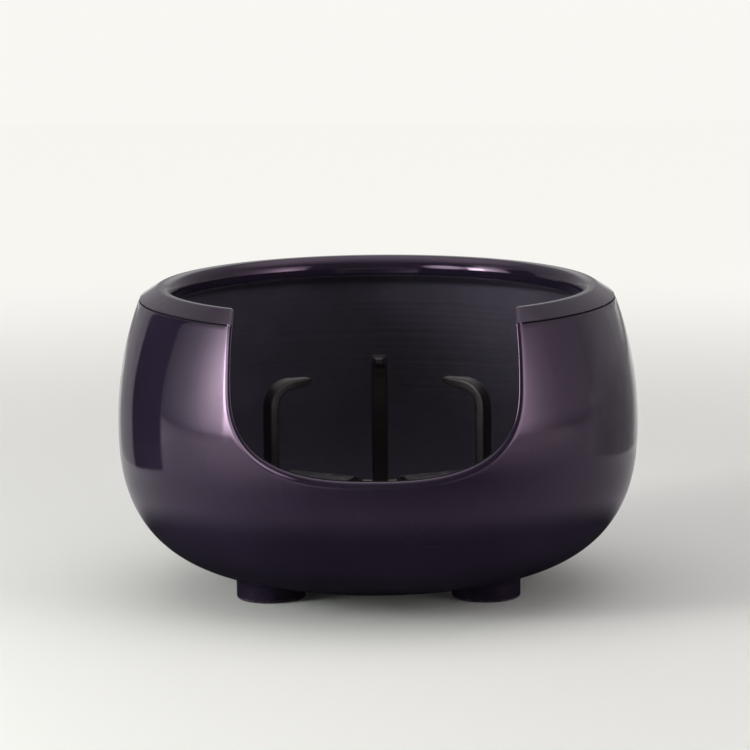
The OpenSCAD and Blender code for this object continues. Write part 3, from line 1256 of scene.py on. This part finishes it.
@dataclass
class Feet:
    """Three low round feet whose tops follow the bowl's underside."""

    bowl: Bowl
    foot_d: float = 44.0
    foot_ring_d: float = 159.0
    edge_r: float = 1.8
    flare: float = 1.1
    flare_h: float = 3.2
    into_clay: float = 0.3
    around: int = 96
    edge_rows: int = 7
    side_rows: int = 22
    under_shares: tuple[float, ...] = (0.0, 0.3, 0.6, 0.85)
    top_shares: tuple[float, ...] = (0.7, 0.35, 0.0)
    finish: Finish = FootClay()

    def build(self, name: str, place: Third) -> bpy.types.Object:
        """Builds one foot.

        Args:
            name: Name of the piece.
            place: Where the foot stands.

        Returns:
            The closed foot.
        """
        turn = circle(self.around)
        r, away = self.foot_d / 2, self.foot_ring_d / 2

        def ring(radius: float, share: float, lift: float) -> np.ndarray:
            """Ring between the lower edge and the clay.

            Args:
                radius: Its radius.
                share: Share of the way up to the clay.
                lift: Height of the lower edge.

            Returns:
                Its points.
            """
            x = away * math.cos(place.turn) + radius * np.cos(turn)
            y = away * math.sin(place.turn) + radius * np.sin(turn)
            top = self.bowl.underside(np.hypot(x, y)) + self.into_clay
            return np.stack([x, y, lift + share * (top - lift)], axis=1)

        rows = [ring(r * share, 0.0, 0.0) for share in self.under_shares]
        for a in np.linspace(0.0, QUARTER, self.edge_rows):
            rows.append(ring(r - self.edge_r * (1 - math.sin(a)), 0.0, self.edge_r * (1 - math.cos(a))))
        for share in np.linspace(0.0, 1.0, self.side_rows)[1:]:
            below = (1 - share) * (self.bowl.foot_h - self.edge_r)
            rows.append(ring(r + self.flare * smooth_step(self.flare_h, 0.0, below), share, self.edge_r))
        rows.extend(ring(r * share, 1.0, self.edge_r) for share in self.top_shares)
        return wrapped(name, np.stack(rows), self.finish)

    def dress(self) -> None:
        """Builds the feet and puts them in the frame."""
        for name, place in (("front_left", Third.FRONT_LEFT), ("front_right", Third.FRONT_RIGHT),
                            ("rear", Third.REAR)):
            settle(self.build(f"{name}_clay_foot", place), "brazier", "black_clay", f"{name}_foot")


@dataclass
class Fire:
    """Places in the hearth that the ash and the things on it share."""

    hearth_z: float = 32.6
    ash_z: float = 38.2
    ash_edge_z: float = 42.2
    tile_r: float = 90.0
    ring_out_r: float = 84.0
    ring_w: float = 12.0
    ring_h: float = 7.0
    ring_end_a: float = math.radians(50.0)
    charcoal_d: float = 34.0
    charcoal_l: float = 50.0
    charcoal_sink: float = 3.0
    charcoal_out_r: float = 67.904
    front_tile_r: float = 56.0
    front_tile_h: float = 47.0
    front_tile_t: float = 7.0
    front_tile_y: float = 74.404
    ash_fit: float = 0.4

    @property
    def charcoal_z(self) -> float:
        """Height of the charcoals' middle."""
        return self.ash_z - self.charcoal_sink + self.charcoal_d / 2

    @property
    def tile_half_w(self) -> float:
        """Half width of the front tile."""
        return math.sqrt(self.front_tile_r ** 2 - max(0.0, self.front_tile_r - self.front_tile_h) ** 2)


@dataclass
class Hearth:
    """Paper lining, floor tile and smoothed ash."""

    bowl: Bowl
    fire: Fire
    paper_t: float = 0.6
    paper_wave: float = 1.6
    paper_mid: float = 0.5
    paper_waves: tuple[Triple, ...] = ((0.3, 7, 0.6), (0.2, 23, 1.9))
    paper_around: int = 240
    paper_rows: int = 24
    paper_power: float = 1.6
    paper_floor: tuple[float, ...] = (0.0, 0.4, 0.8)
    level_w: float = 14.0
    slope: float = 8.0 / 63.5
    bank_h: float = 0.8
    bank_w: float = 5.0
    stroke_h: float = 0.45
    stroke_mid: float = 0.6
    stroke_off: float = 6.0
    strokes: int = 46
    sway: tuple[Triple, ...] = ((0.035, 3, 0.4), (0.025, 5, 2.0))
    lumps: tuple[tuple[float, float, int], ...] = ((0.25, 0.045, 3), (0.12, 0.2, 4))
    wall_w: float = 1.0
    pocket_h: float = 60.0
    pocket_sink: float = 0.3
    ash_around: int = 360
    ash_rings: int = 151
    ash_wall_rows: int = 8
    ash_edge_drop: float = 2.5
    tile_gap: float = 4.0
    tile_lap: Pair = (0.5, 2.0)
    tile_sink: float = 0.7

    def build_paper(self) -> bpy.types.Object:
        """Builds the lining.

        Returns:
            The closed thin lining with an uneven upper edge.
        """
        angle = circle(self.paper_around)
        tops = self.fire.ash_edge_z + self.paper_wave * (self.paper_mid + waves(angle, self.paper_waves))

        def face(inwards: float) -> np.ndarray:
            """Rings of one face, from the middle of the floor to the upper edge.

            Args:
                inwards: Distance inside the bowl's inner face.

            Returns:
                Points, ring by ring.
            """
            floor_z = self.bowl.floor_z + inwards
            line_r, line_z = self.bowl.inner_wall(self.bowl.wall_t + inwards).T
            level = np.full_like(angle, floor_z)
            rings = [(np.interp(level, line_z, line_r) * share, level) for share in self.paper_floor]
            for share in np.linspace(0.0, 1.0, self.paper_rows) ** self.paper_power:
                z = floor_z + (tops - floor_z) * share
                rings.append((np.interp(z, line_z, line_r), z))
            return np.stack([turned(r, angle, z) for r, z in rings])

        points = np.concatenate([face(FIT), face(self.paper_t - FIT)[::-1]])
        return wrapped("scorched_lining_paper", points, LiningPaper())

    def ash_height(self, x: np.ndarray, y: np.ndarray) -> np.ndarray:
        """Height of the ash.

        Args:
            x: Places across.
            y: Places along.

        Returns:
            Height at each place, with the pockets of what lies in the ash.
        """
        fire = self.fire
        r, a = np.hypot(x, y), np.arctan2(x, -y)
        level_r = fire.tile_r + self.level_w
        z = fire.ash_z + self.slope * np.maximum(r - level_r, 0.0)
        stroke = np.abs(np.sin((self.strokes / 2) * (a + waves(a, self.sway)))) - self.stroke_mid
        z += self.stroke_h * smooth_step(fire.ring_out_r + self.stroke_off, level_r, r) * stroke
        flat = np.stack([x, y, np.zeros_like(x)], axis=-1)
        for high, scale, seed in self.lumps:
            z += high * grain(flat, (scale, scale, 0.0), seed)
        ring_in = fire.ring_out_r - fire.ring_w
        trench = np.maximum(np.maximum(ring_in - r, r - fire.ring_out_r), (fire.ring_end_a - np.abs(a)) * r)
        slot = np.maximum(np.abs(x) - fire.tile_half_w, np.abs(y + fire.front_tile_y) - fire.front_tile_t / 2)
        outside = (trench - fire.ash_fit, slot - fire.ash_fit)
        for away in outside:
            z += self.bank_h * np.exp(-(np.maximum(away, 0.0) / self.bank_w) ** 2) * (away > 0)
        big_r = fire.charcoal_d / 2 + fire.ash_fit
        for place in (Third.FRONT, Third.LEFT, Third.RIGHT):
            along = x * math.cos(place.turn) + y * math.sin(place.turn)
            across = -x * math.sin(place.turn) + y * math.cos(place.turn)
            ends = np.maximum(fire.charcoal_out_r - fire.charcoal_l - along, along - fire.charcoal_out_r)
            round_z = fire.charcoal_z - np.sqrt(np.maximum(big_r ** 2 - across ** 2, 0.0))
            round_z += self.pocket_h * smooth_step(fire.ash_fit, fire.ash_fit + self.wall_w, ends)
            z = np.minimum(z, np.where(np.abs(across) < big_r, round_z, z))
        for away in outside:
            keep = smooth_step(0.0, self.wall_w, away)
            z = keep * z + (1 - keep) * (fire.hearth_z - self.pocket_sink)
        return z

    def build_ash(self) -> bpy.types.Object:
        """Builds the ash.

        Returns:
            The closed bed of ash.
        """
        fire, bowl = self.fire, self.bowl
        level_r = fire.tile_r + self.level_w
        line_r, line_z = bowl.inner_wall(bowl.wall_t + self.paper_t).T
        meet = np.argmin(np.abs(fire.ash_z + self.slope * (line_r - level_r) - line_z))
        angle = circle(self.ash_around)[None, :]
        radius = np.linspace(0.0, line_r[meet] - FIT, self.ash_rings)
        top = turned(radius[:, None], angle, 0.0)
        top[..., 2] = self.ash_height(top[..., 0], top[..., 1])
        floor_z = bowl.floor_z + self.paper_t + FIT
        z = np.linspace(line_z[meet] - self.ash_edge_drop, floor_z, self.ash_wall_rows)
        wall = np.stack([np.interp(z, line_z, line_r) - FIT, z], axis=1)
        tile_z = fire.hearth_z - self.tile_sink
        floor = [(fire.tile_r + self.tile_gap, floor_z), (fire.tile_r - self.tile_lap[0], floor_z),
                 (fire.tile_r - self.tile_lap[1], tile_z), (0.0, tile_z)]
        lower = np.concatenate([wall, floor])
        points = np.concatenate([top, turned(lower[:, :1], angle, lower[:, 1:])])
        return wrapped("smoothed_ash", points, SiftedAsh())

    def dress(self) -> None:
        """Builds the hearth and puts it in the frame."""
        settle(self.build_paper(), "brazier", "lining_paper", "lining_paper")
        settle(self.build_ash(), "brazier", "ash", "ash_bed")
        tile = frame["nodes"]["floor_tile"]
        tile.data.materials.clear()
        tile.data.materials.append(Earthenware().material())
        LOG.info("floor_tile keeps its solid")


class BarTree(NodeBox):
    """Geometry Nodes that sweep a forged bar along a curve."""

    name = "forged_bar"
    sizes = ("Width", "Height", "Edge rounding", "Spacing", "Hammer depth", "Hammer size")
    corner_steps = 4
    mark_detail = 1.0

    def __init__(self) -> None:
        """Builds the tree."""
        super().__init__(bpy.data.node_groups.new(self.name, "GeometryNodeTree"))
        face = self.tree.interface
        floats = dict.fromkeys(self.sizes, "Float")
        kinds = {"Path": "Geometry", **floats, "Seed": "Int", "Finish": "Material"}
        self.ids = {
            name: face.new_socket(name, in_out="INPUT", socket_type=f"NodeSocket{kind}").identifier
            for name, kind in kinds.items()
        }
        face.new_socket("Bar", in_out="OUTPUT", socket_type="NodeSocketGeometry")
        self.wire()

    def wire(self) -> None:
        """Joins the nodes: section, sweep, hammer marks, finish."""
        given = self.add("NodeGroupInput").outputs
        section = self.add("GeometryNodeCurvePrimitiveQuadrilateral",
                           {"Width": given["Width"], "Height": given["Height"]}).outputs["Curve"]
        rounded = self.add("GeometryNodeFilletCurve", {
            "Curve": section, "Radius": given["Edge rounding"], "Count": self.corner_steps
        }, mode="POLY").outputs["Curve"]
        around, path = (
            self.add("GeometryNodeResampleCurve", {"Curve": curve, "Length": given["Spacing"]}, mode="LENGTH")
            for curve in (rounded, given["Path"])
        )
        sweep = self.add("GeometryNodeCurveToMesh", {
            "Curve": path.outputs["Curve"], "Profile Curve": around.outputs["Curve"], "Fill Caps": True,
            "Scale": self.add("GeometryNodeInputRadius").outputs["Radius"],
        })
        marks = self.add("ShaderNodeTexNoise", {
            "Scale": self.sums("DIVIDE", 1.0, given["Hammer size"]), "W": given["Seed"],
            "Detail": self.mark_detail,
        }, noise_dimensions="4D").outputs["Fac"]
        depth = self.sums("MULTIPLY", marks, given["Hammer depth"])
        inwards = self.add("ShaderNodeVectorMath", {
            "Vector": self.add("GeometryNodeInputNormal").outputs["Normal"],
            "Scale": self.sums("MULTIPLY", depth, -1.0),
        }, operation="SCALE").outputs["Vector"]
        beaten = self.add("GeometryNodeSetPosition", {"Geometry": sweep.outputs["Mesh"], "Offset": inwards})
        smooth = self.add("GeometryNodeSetShadeSmooth", {"Geometry": beaten.outputs["Geometry"]})
        bar = self.add("GeometryNodeSetMaterial",
                       {"Geometry": smooth.outputs["Geometry"], "Material": given["Finish"]})
        self.add("NodeGroupOutput", {"Bar": bar.outputs["Geometry"]})

    def sweep(self, name: str, path: np.ndarray, widths: np.ndarray, inputs: dict) -> bpy.types.Object:
        """Sweeps one bar.

        Args:
            name: Name of the piece.
            path: Points of the bar's middle line in millimetres.
            widths: Size of the section at each point, as a share.
            inputs: Values of the tree's inputs, in metres.

        Returns:
            A plain mesh object at the origin.
        """
        data = bpy.data.curves.new(f"{name}_path", "CURVE")
        data.dimensions = "3D"
        line = data.splines.new("POLY")
        line.points.add(len(path) - 1)
        for point, place, width in zip(line.points, path * MM, widths):
            point.co = (*place, 1.0)
            point.radius = width
        guide = bpy.data.objects.new(f"{name}_guide", data)
        bpy.context.scene.collection.objects.link(guide)
        modifier = guide.modifiers.new("bar", "NODES")
        modifier.node_group = self.tree
        for key, value in inputs.items():
            modifier[self.ids[key]] = value
        mesh = bpy.data.meshes.new_from_object(guide.evaluated_get(bpy.context.evaluated_depsgraph_get()))
        bpy.data.objects.remove(guide)
        mesh.name = name
        return placed(mesh)


@dataclass
class Trivet:
    """Forged ring, open at the front, with three legs that bend in to claws."""

    fire: Fire
    trivet_h: float = 108.0
    leg_w: float = 11.0
    leg_t: float = 7.5
    bend_r: float = 14.0
    claw_l: float = 15.0
    tip: float = 0.58
    tip_t: float = 4.5
    tip_round: float = 0.35
    tip_from: float = 0.8
    sunk: float = 0.6
    edge_r: float = 1.5
    spacing: float = 1.3
    hammer_depth: float = 0.42
    hammer_size: float = 7.0
    ring_points: int = 160
    leg_points: int = 40
    bend_points: int = 24
    claw_points: int = 20
    finish: Finish = ForgedIron()

    def inputs(self, width: float, height: float, seed: int) -> dict:
        """Inputs of the bar's nodes.

        Args:
            width: Section across the bend in millimetres.
            height: Section along the other side.
            seed: Picks the hammer marks.

        Returns:
            Values by input name, in metres.
        """
        sizes = (width, height, self.edge_r, self.spacing, self.hammer_depth, self.hammer_size)
        metres = {name: size * MM for name, size in zip(BarTree.sizes, sizes)}
        return {**metres, "Seed": seed, "Finish": self.finish.material()}

    def build_ring(self, tree: BarTree, seed: int) -> bpy.types.Object:
        """Builds the open ring.

        Args:
            tree: Nodes that sweep a bar.
            seed: Picks the hammer marks.

        Returns:
            The ring.
        """
        fire = self.fire
        a = np.linspace(fire.ring_end_a, 2 * math.pi - fire.ring_end_a, self.ring_points)
        path = turned(fire.ring_out_r - fire.ring_w / 2, a, fire.hearth_z + fire.ring_h / 2)
        section = self.inputs(fire.ring_w, fire.ring_h, seed)
        return tree.sweep("open_iron_ring", path, np.ones(len(path)), section)

    def build_leg(self, tree: BarTree, name: str, place: Third, seed: int) -> bpy.types.Object:
        """Builds a leg with its claw.

        Args:
            tree: Nodes that sweep a bar.
            name: Name of the piece.
            place: Where the leg stands.
            seed: Picks the hammer marks.

        Returns:
            The leg.
        """
        fire = self.fire
        x = fire.ring_out_r - fire.ring_w / 2
        claw_z = fire.hearth_z + self.trivet_h - self.leg_t / 2
        bend_z = claw_z - self.bend_r
        up = np.linspace((x, fire.hearth_z + fire.ring_h - self.sunk), (x, bend_z), self.leg_points)
        bend = arc((x - self.bend_r, bend_z), self.bend_r, np.linspace(0.0, QUARTER, self.bend_points)[1:])
        share = np.linspace(0.0, 1.0, self.claw_points)[1:]
        rise = (self.leg_t - self.tip_t) / 2
        claw = np.stack([x - self.bend_r - self.claw_l * share, claw_z + rise * share], axis=1)
        line = np.concatenate([up, bend, claw])
        taper = 1 - (1 - self.tip) * share
        taper *= 1 - self.tip_round * smooth_step(self.tip_from, 1.0, share) ** 2
        widths = np.concatenate([np.ones(len(up) + len(bend)), taper])
        path = np.stack([line[:, 0], np.zeros(len(line)), line[:, 1]], axis=1)
        leg = tree.sweep(name, path, widths, self.inputs(self.leg_t, self.leg_w, seed))
        leg.data.transform(Matrix.Rotation(place.turn, 4, "Z"))
        return leg

    def dress(self) -> None:
        """Builds the trivet and puts it in the frame."""
        tree = BarTree()
        settle(self.build_ring(tree, seed=1), "trivet", "forged_iron", "trivet_ring")
        for seed, (side, place) in enumerate((("left", Third.FRONT_LEFT), ("right", Third.FRONT_RIGHT),
                                              ("rear", Third.REAR)), start=2):
            leg = self.build_leg(tree, f"{side}_claw_leg", place, seed)
            settle(leg, "trivet", "forged_iron", f"trivet_{side}_leg")


@dataclass
class FrontTile:
    """Half-round tile that stands upright before the fire."""

    fire: Fire
    edge_r: float = 1.6
    dent: float = 0.35
    dent_scale: Triple = (0.06, 0.06, 0.06)
    dent_seed: int = 8
    middle: float = 0.45
    fine_top: int = 400
    fine_foot: int = 200
    around: int = 220
    edge_rows: int = 6
    face_rows: int = 26
    finish: Finish = Earthenware()

    def outline(self) -> np.ndarray:
        """Outline seen from the front, with a straight foot.

        Returns:
            Across and up of each point.
        """
        fire = self.fire
        drop = fire.front_tile_h - fire.front_tile_r
        low = math.asin(-drop / fire.front_tile_r)
        round_top = arc((0.0, drop), fire.front_tile_r, np.linspace(low, math.pi - low, self.fine_top))
        foot = np.linspace(round_top[-1], round_top[0], self.fine_foot)[1:]
        return resample(np.concatenate([round_top, foot]), self.around)[:-1]

    def build(self) -> bpy.types.Object:
        """Builds the tile.

        Returns:
            The closed tile with rounded edges and a hand-pressed face.
        """
        fire = self.fire
        line = self.outline()
        middle = np.array([0.0, fire.front_tile_h * self.middle])
        half = fire.front_tile_t / 2
        reach = float(np.min(np.linalg.norm(line - middle, axis=1)))
        rims = [(self.edge_r * (1 - math.sin(t)), half - self.edge_r * (1 - math.cos(t)))
                for t in np.linspace(QUARTER, 0.0, self.edge_rows)]
        near = rims + [(inset, half) for inset in np.linspace(self.edge_r, reach, self.face_rows)[1:]]
        rows = []
        for inset, depth in [(inset, -depth) for inset, depth in near[::-1]] + near:
            shrunk = middle + (line - middle) * (1 - inset / reach)
            rows.append(np.stack([shrunk[:, 0], np.full(len(line), depth), shrunk[:, 1]], axis=1))
        points = np.stack(rows)
        depth = points[..., 1]
        pressed = np.clip(np.abs(depth) / half, 0.0, 1.0)
        dents = 0.5 + 0.5 * grain(points, self.dent_scale, self.dent_seed)
        points[..., 1] = depth - np.sign(depth) * self.dent * pressed * dents
        points += [0.0, -fire.front_tile_y, fire.hearth_z]
        return wrapped("half_round_front_tile", points, self.finish)

    def dress(self) -> None:
        """Builds the tile and puts it in the frame."""
        settle(self.build(), "front_tile", "earthenware", "front_tile")


@dataclass
class Charcoals:
    """Three sawn rounds of oak charcoal laid to the middle."""

    fire: Fire
    around: int = 180
    end_rows: int = 24
    edge_rows: int = 5
    side_rows: int = 44
    side_from: float = 2.2
    edge_r: float = 1.0
    end_in: float = 0.3
    face_in: float = 0.1
    cracks: int = 15
    crack_sway: Pair = (-0.32, 0.32)
    crack_from: Pair = (0.05, 0.6)
    crack_deep: Pair = (0.35, 1.0)
    crack_wide: Pair = (0.6, 1.2)
    crack_depth: float = 4.2
    crack_w: float = 0.9
    crack_power: float = 0.7
    crack_ease: float = 0.6
    crack_round: float = 0.55
    crack_side: float = 0.30
    crack_reach: float = 5.0
    rings: tuple[Pair, ...] = ((0.14, 2.6), (0.10, 5.1))
    bark: float = 0.7
    bark_from: float = 0.8
    bark_scale: Triple = (0.035, 0.30, 0.30)
    fine_bark: float = 0.5
    fine_bark_scale: Triple = (0.1, 0.75, 0.75)
    fine_bark_seed: int = 9
    saw: float = 0.25
    saw_scale: Triple = (0.3, 0.3, 0.3)
    saw_seed: int = 5
    saw_reach: float = 3.0
    first_seed: int = 11
    finish: Finish = OakCharcoal()

    def section(self, seed: int) -> tuple[np.ndarray, np.ndarray]:
        """Cracked round before its bark and its saw marks.

        Args:
            seed: Picks its cracks.

        Returns:
            Radius and place along the charcoal, for each ring and each angle.
        """
        draw = np.random.default_rng(seed)
        r, half = self.fire.charcoal_d / 2, self.fire.charcoal_l / 2
        turn = circle(self.around)
        places = np.arange(self.cracks) + draw.uniform(*self.crack_sway, self.cracks)
        places *= 2 * math.pi / self.cracks
        starts = draw.uniform(*self.crack_from, self.cracks)
        depths = draw.uniform(*self.crack_deep, self.cracks) * self.crack_depth
        widths = draw.uniform(*self.crack_wide, self.cracks) * self.crack_w

        def crack(radius: float) -> np.ndarray:
            """Depth of the cracks.

            Args:
                radius: At this radius.

            Returns:
                Depth for each angle.
            """
            off = np.abs((turn[:, None] - places[None, :] + math.pi) % (2 * math.pi) - math.pi)
            wide = np.clip(1 - off * max(radius, 1.0) / widths, 0.0, 1.0) ** self.crack_power
            return np.max(wide * depths * smooth_step(0.0, self.crack_ease, radius / r - starts), axis=1)

        (first, slow), (second, fast) = self.rings
        end, ends = half - self.end_in, []
        for radius in np.linspace(0.0, r - self.edge_r, self.end_rows):
            rings = waves(radius, ((first, slow, 0.0), (second, fast, seed)))
            ends.append((radius, end - crack(radius) + rings - self.face_in))
        for a in np.linspace(0.0, QUARTER, self.edge_rows)[1:]:
            radius = r - self.edge_r * (1 - math.sin(a))
            slack = crack(radius) * (1 - math.sin(a) * self.crack_round)
            ends.append((radius, end - self.edge_r * (1 - math.cos(a)) - slack))
        rows = [(radius, -along) for radius, along in ends]
        for along in np.linspace(self.side_from - half, half - self.side_from, self.side_rows):
            near = math.exp(-((half - abs(along)) / self.crack_reach) ** 2)
            rows.append((r - self.crack_side * near * crack(r), along))
        columns = zip(*rows, *ends[::-1])
        return tuple(np.stack([np.broadcast_to(v, turn.shape) for v in values]) for values in columns)

    def build(self, name: str, place: Third, seed: int) -> bpy.types.Object:
        """Builds one charcoal.

        Args:
            name: Name of the piece.
            place: Where it lies.
            seed: Picks its cracks and its bark.

        Returns:
            The closed charcoal.
        """
        fire = self.fire
        r, half = fire.charcoal_d / 2, fire.charcoal_l / 2
        turn = circle(self.around)
        radius, along = self.section(seed)
        points = np.stack([along, radius * np.cos(turn), radius * np.sin(turn)], axis=-1)
        rough = np.abs(grain(points, self.bark_scale, seed))
        rough += self.fine_bark * np.abs(grain(points, self.fine_bark_scale, seed + self.fine_bark_seed))
        shrink = 1 - self.bark * rough * smooth_step(self.bark_from, 1.0, radius / r) / r
        points[..., 1:] *= shrink[..., None]
        sawn = smooth_step(half - self.saw_reach, half, np.abs(along))
        points[..., 0] += self.saw * grain(points, self.saw_scale, seed + self.saw_seed) * sawn
        points += [fire.charcoal_out_r - half, 0.0, fire.charcoal_z]
        return wrapped(name, points @ np.array(Matrix.Rotation(place.turn, 3, "Z")).T, self.finish)

    def dress(self) -> None:
        """Builds the charcoals and puts them in the frame."""
        for seed, (side, place) in enumerate((("front", Third.FRONT), ("left", Third.LEFT),
                                              ("right", Third.RIGHT)), start=self.first_seed):
            charcoal = self.build(f"{side}_round_charcoal", place, seed)
            settle(charcoal, f"{side}_charcoal", "charcoal", f"{side}_charcoal")


@dataclass
class Studio:
    """Floor, soft windows, sky and the camera."""

    camera_at: Triple = (-0.00175, -2.6248, 0.5638)
    camera_turn: float = math.radians(0.87)
    pitch: float = math.radians(9.23)
    roll: float = math.radians(-0.49)
    lens: float = 197.9
    sensor: float = 36.0
    clip: Pair = (0.05, 60.0)
    floor_half: float = 14.0
    card_half: float = 3.0
    card_lift: float = 0.0015
    card_low: float = 0.006
    sky_levels: Fall = ((0.0, 0.32), (0.70, 0.33), (0.88, 1.0))
    sky_peak: float = 1.3
    front: float = 0.4
    front_from: Pair = (0.1, -0.6)
    sky_colour: Colour = (1.0, 0.95, 0.99)

    def stand(self, name: str, corners: Sequence[Triple], finish: Finish) -> bpy.types.Object:
        """Adds a plain face to the studio.

        Args:
            name: Name of the face.
            corners: Its four corners.
            finish: What covers it.

        Returns:
            The face, which isn't part of the object.
        """
        mesh = bpy.data.meshes.new(name)
        mesh.from_pydata(corners, [], [(0, 1, 2, 3)])
        face = placed(mesh, finish)
        return face

    def lay(self, name: str, half: float, z: float, finish: Finish) -> bpy.types.Object:
        """Adds a level square, given by its half width and its height."""
        corners = [(x * half, y * half, z) for x, y in ((-1, -1), (1, -1), (1, 1), (-1, 1))]
        return self.stand(name, corners, finish)

    def raise_panel(
        self, name: str, first: Plan, second: Plan, rise: Pair, finish: Finish
    ) -> bpy.types.Object:
        """Adds an upright panel, seen only in what it lights and in mirrors.

        Args:
            name: Name of the panel.
            first: One side in plan.
            second: The other side in plan.
            rise: Heights of its foot and its top.
            finish: What covers it.

        Returns:
            The panel.
        """
        low, high = rise
        panel = self.stand(name, [(*first, low), (*second, low), (*second, high), (*first, high)], finish)
        panel.visible_camera = False
        return panel

    def window(
        self, name: str, azimuth: float, distance: float, across: Pair, rise: Pair, hot: Pair, **glow: object
    ) -> bpy.types.Object:
        """Adds a soft window, square to the line to the axis.

        Args:
            name: Name of the window.
            azimuth: Degrees to the left of the camera's side.
            distance: Distance from the axis in metres.
            across: Its two sides, as distances from that line.
            rise: Heights of its foot and its top.
            hot: Brightest point, as the distance from that line and the height.
            glow: Other fields of its cloth.

        Returns:
            The window.
        """
        a = math.radians(azimuth)
        first, second, bright = (
            (-distance * math.sin(a) - side * math.cos(a), -distance * math.cos(a) + side * math.sin(a))
            for side in (*across, hot[0])
        )
        cloth = WindowGlow(f"{name}_glow", hot=(*bright, hot[1]), **glow)
        return self.raise_panel(name, first, second, rise, cloth)

    def shoot(self) -> None:
        """Sets the camera."""
        data = bpy.data.cameras.new("photo_camera")
        data.sensor_width = self.sensor
        data.lens = self.lens
        data.clip_start, data.clip_end = self.clip
        camera = bpy.data.objects.new("photo_camera", data)
        tilt = Matrix.Rotation(QUARTER - self.pitch, 4, "X") @ Matrix.Rotation(self.roll, 4, "Z")
        turn = Matrix.Rotation(self.camera_turn, 4, "Z")
        camera.matrix_world = turn @ Matrix.Translation(self.camera_at) @ tilt
        bpy.context.scene.collection.objects.link(camera)
        bpy.context.scene.camera = camera

    def sky(self) -> None:
        """Sets an even sky with a soft light overhead, dim on the camera's side."""
        world = bpy.data.worlds.new("studio_sky")
        world.use_nodes = True
        box = NodeBox(world.node_tree)
        way = box.add("ShaderNodeTexCoord").outputs["Generated"]
        parts = box.add("ShaderNodeSeparateXYZ", {"Vector": way}).outputs
        levels = box.greys(parts["Z"], self.sky_levels)
        dimming = (*self.front_from, self.sky_peak, self.sky_peak * self.front)
        peak = box.span(parts["Y"], dimming, "SMOOTHSTEP")
        shine = box.tree.nodes["Background"]
        box.give(shine, "Color", self.sky_colour)
        box.give(shine, "Strength", box.sums("MULTIPLY", levels, peak))
        bpy.context.scene.world = world

    def light(self) -> None:
        """Stands the windows, a light for the opening's edge and a pale panel behind."""
        self.window(
            "left_window", azimuth=70.0, distance=1.5, across=(-0.09, 1.05), rise=(0.01, 1.7),
            hot=(-0.09, 0.51), reach=1.3, tall=0.57, peak=14.8, foot_z=0.10, foot=0.7,
            fall=((0.0, 1.0), (0.115, 0.55), (0.231, 0.30), (0.346, 0.156), (0.46, 0.09), (0.615, 0.05),
                  (0.77, 0.028), (1.0, 0.002)),
        )
        self.window(
            "left_key", azimuth=70.0, distance=1.5, across=(-0.09, -0.9), rise=(0.01, 1.3),
            hot=(-0.09, 0.42), reach=1.0, tall=1.1, peak=32.5, foot_z=0.10, foot=0.62,
            fall=((0.0, 1.0), (0.2, 0.85), (0.32, 0.6), (0.48, 0.25), (0.64, 0.05), (0.8, 0.0)),
        )
        self.window(
            "right_window", azimuth=-70.0, distance=1.6, across=(0.8, -1.1), rise=(0.01, 1.5),
            hot=(0.38, 0.44), reach=1.3, tall=0.58, peak=6.1, foot_z=0.10, foot=0.6, tint=(1.0, 0.94, 0.98),
            fall=((0.0, 1.0), (0.115, 0.80), (0.231, 0.52), (0.346, 0.313), (0.46, 0.207), (0.615, 0.133),
                  (0.77, 0.11), (1.0, 0.085)),
        )
        self.window(
            "edge_light", azimuth=42.0, distance=1.5, across=(0.4, -0.4), rise=(0.2, 1.3),
            hot=(0.0, 0.65), reach=0.45, tall=0.8, peak=8.0, fall=((0.0, 1.0), (0.5, 0.8), (1.0, 0.0)),
        ).visible_diffuse = False
        self.window(
            "back_panel", azimuth=180.0, distance=3.0, across=(-0.8, 0.8), rise=(0.4, 2.9),
            hot=(0.0, 1.65), reach=1.3, tall=1.0, peak=1.15,
            fall=((0.0, 1.0), (0.35, 0.95), (0.6, 0.6), (0.8, 0.33), (1.0, 0.3)),
        )

    def shade(self) -> None:
        """Stands cards that only mirrors see beside the bowl, and lays one on the floor."""
        fading = Card("right_grey", 0.47, middle=(0.45, 0.225), half_w=0.30, high=0.50)
        cards = [
            self.raise_panel(name, first, second, (self.card_low, high), finish)
            for name, first, second, high, finish in (
                ("dark_card", (-0.458, 0.017), (-0.386, 0.194), 0.46, Card()),
                ("left_card", (-0.386, 0.194), (-0.31, 0.40), 0.40, Card("left_grey", 0.68)),
                ("right_card", (0.62, -0.023), (0.28, 0.473), 0.50, fading),
            )
        ]
        for card in (*cards, self.lay("ground_card", self.card_half, self.card_lift, GroundCard())):
            card.visible_camera = card.visible_diffuse = card.visible_shadow = False

    def build(self) -> None:
        """Sets up the whole studio."""
        bpy.context.scene.view_settings.view_transform = "Standard"
        self.shoot()
        self.lay("floor", self.floor_half, 0.0, StudioFloor())
        self.sky()
        self.light()
        self.shade()


def main() -> None:
    """Builds the studio and dresses each sub-assembly in order."""
    logging.basicConfig(level=logging.INFO, format="%(name)s: %(message)s")
    Studio().build()
    bowl, fire = Bowl(), Fire()
    for part in (bowl, Feet(bowl), Hearth(bowl, fire), Trivet(fire), FrontTile(fire), Charcoals(fire)):
        part.dress()


if __name__ == "__main__":
    main()
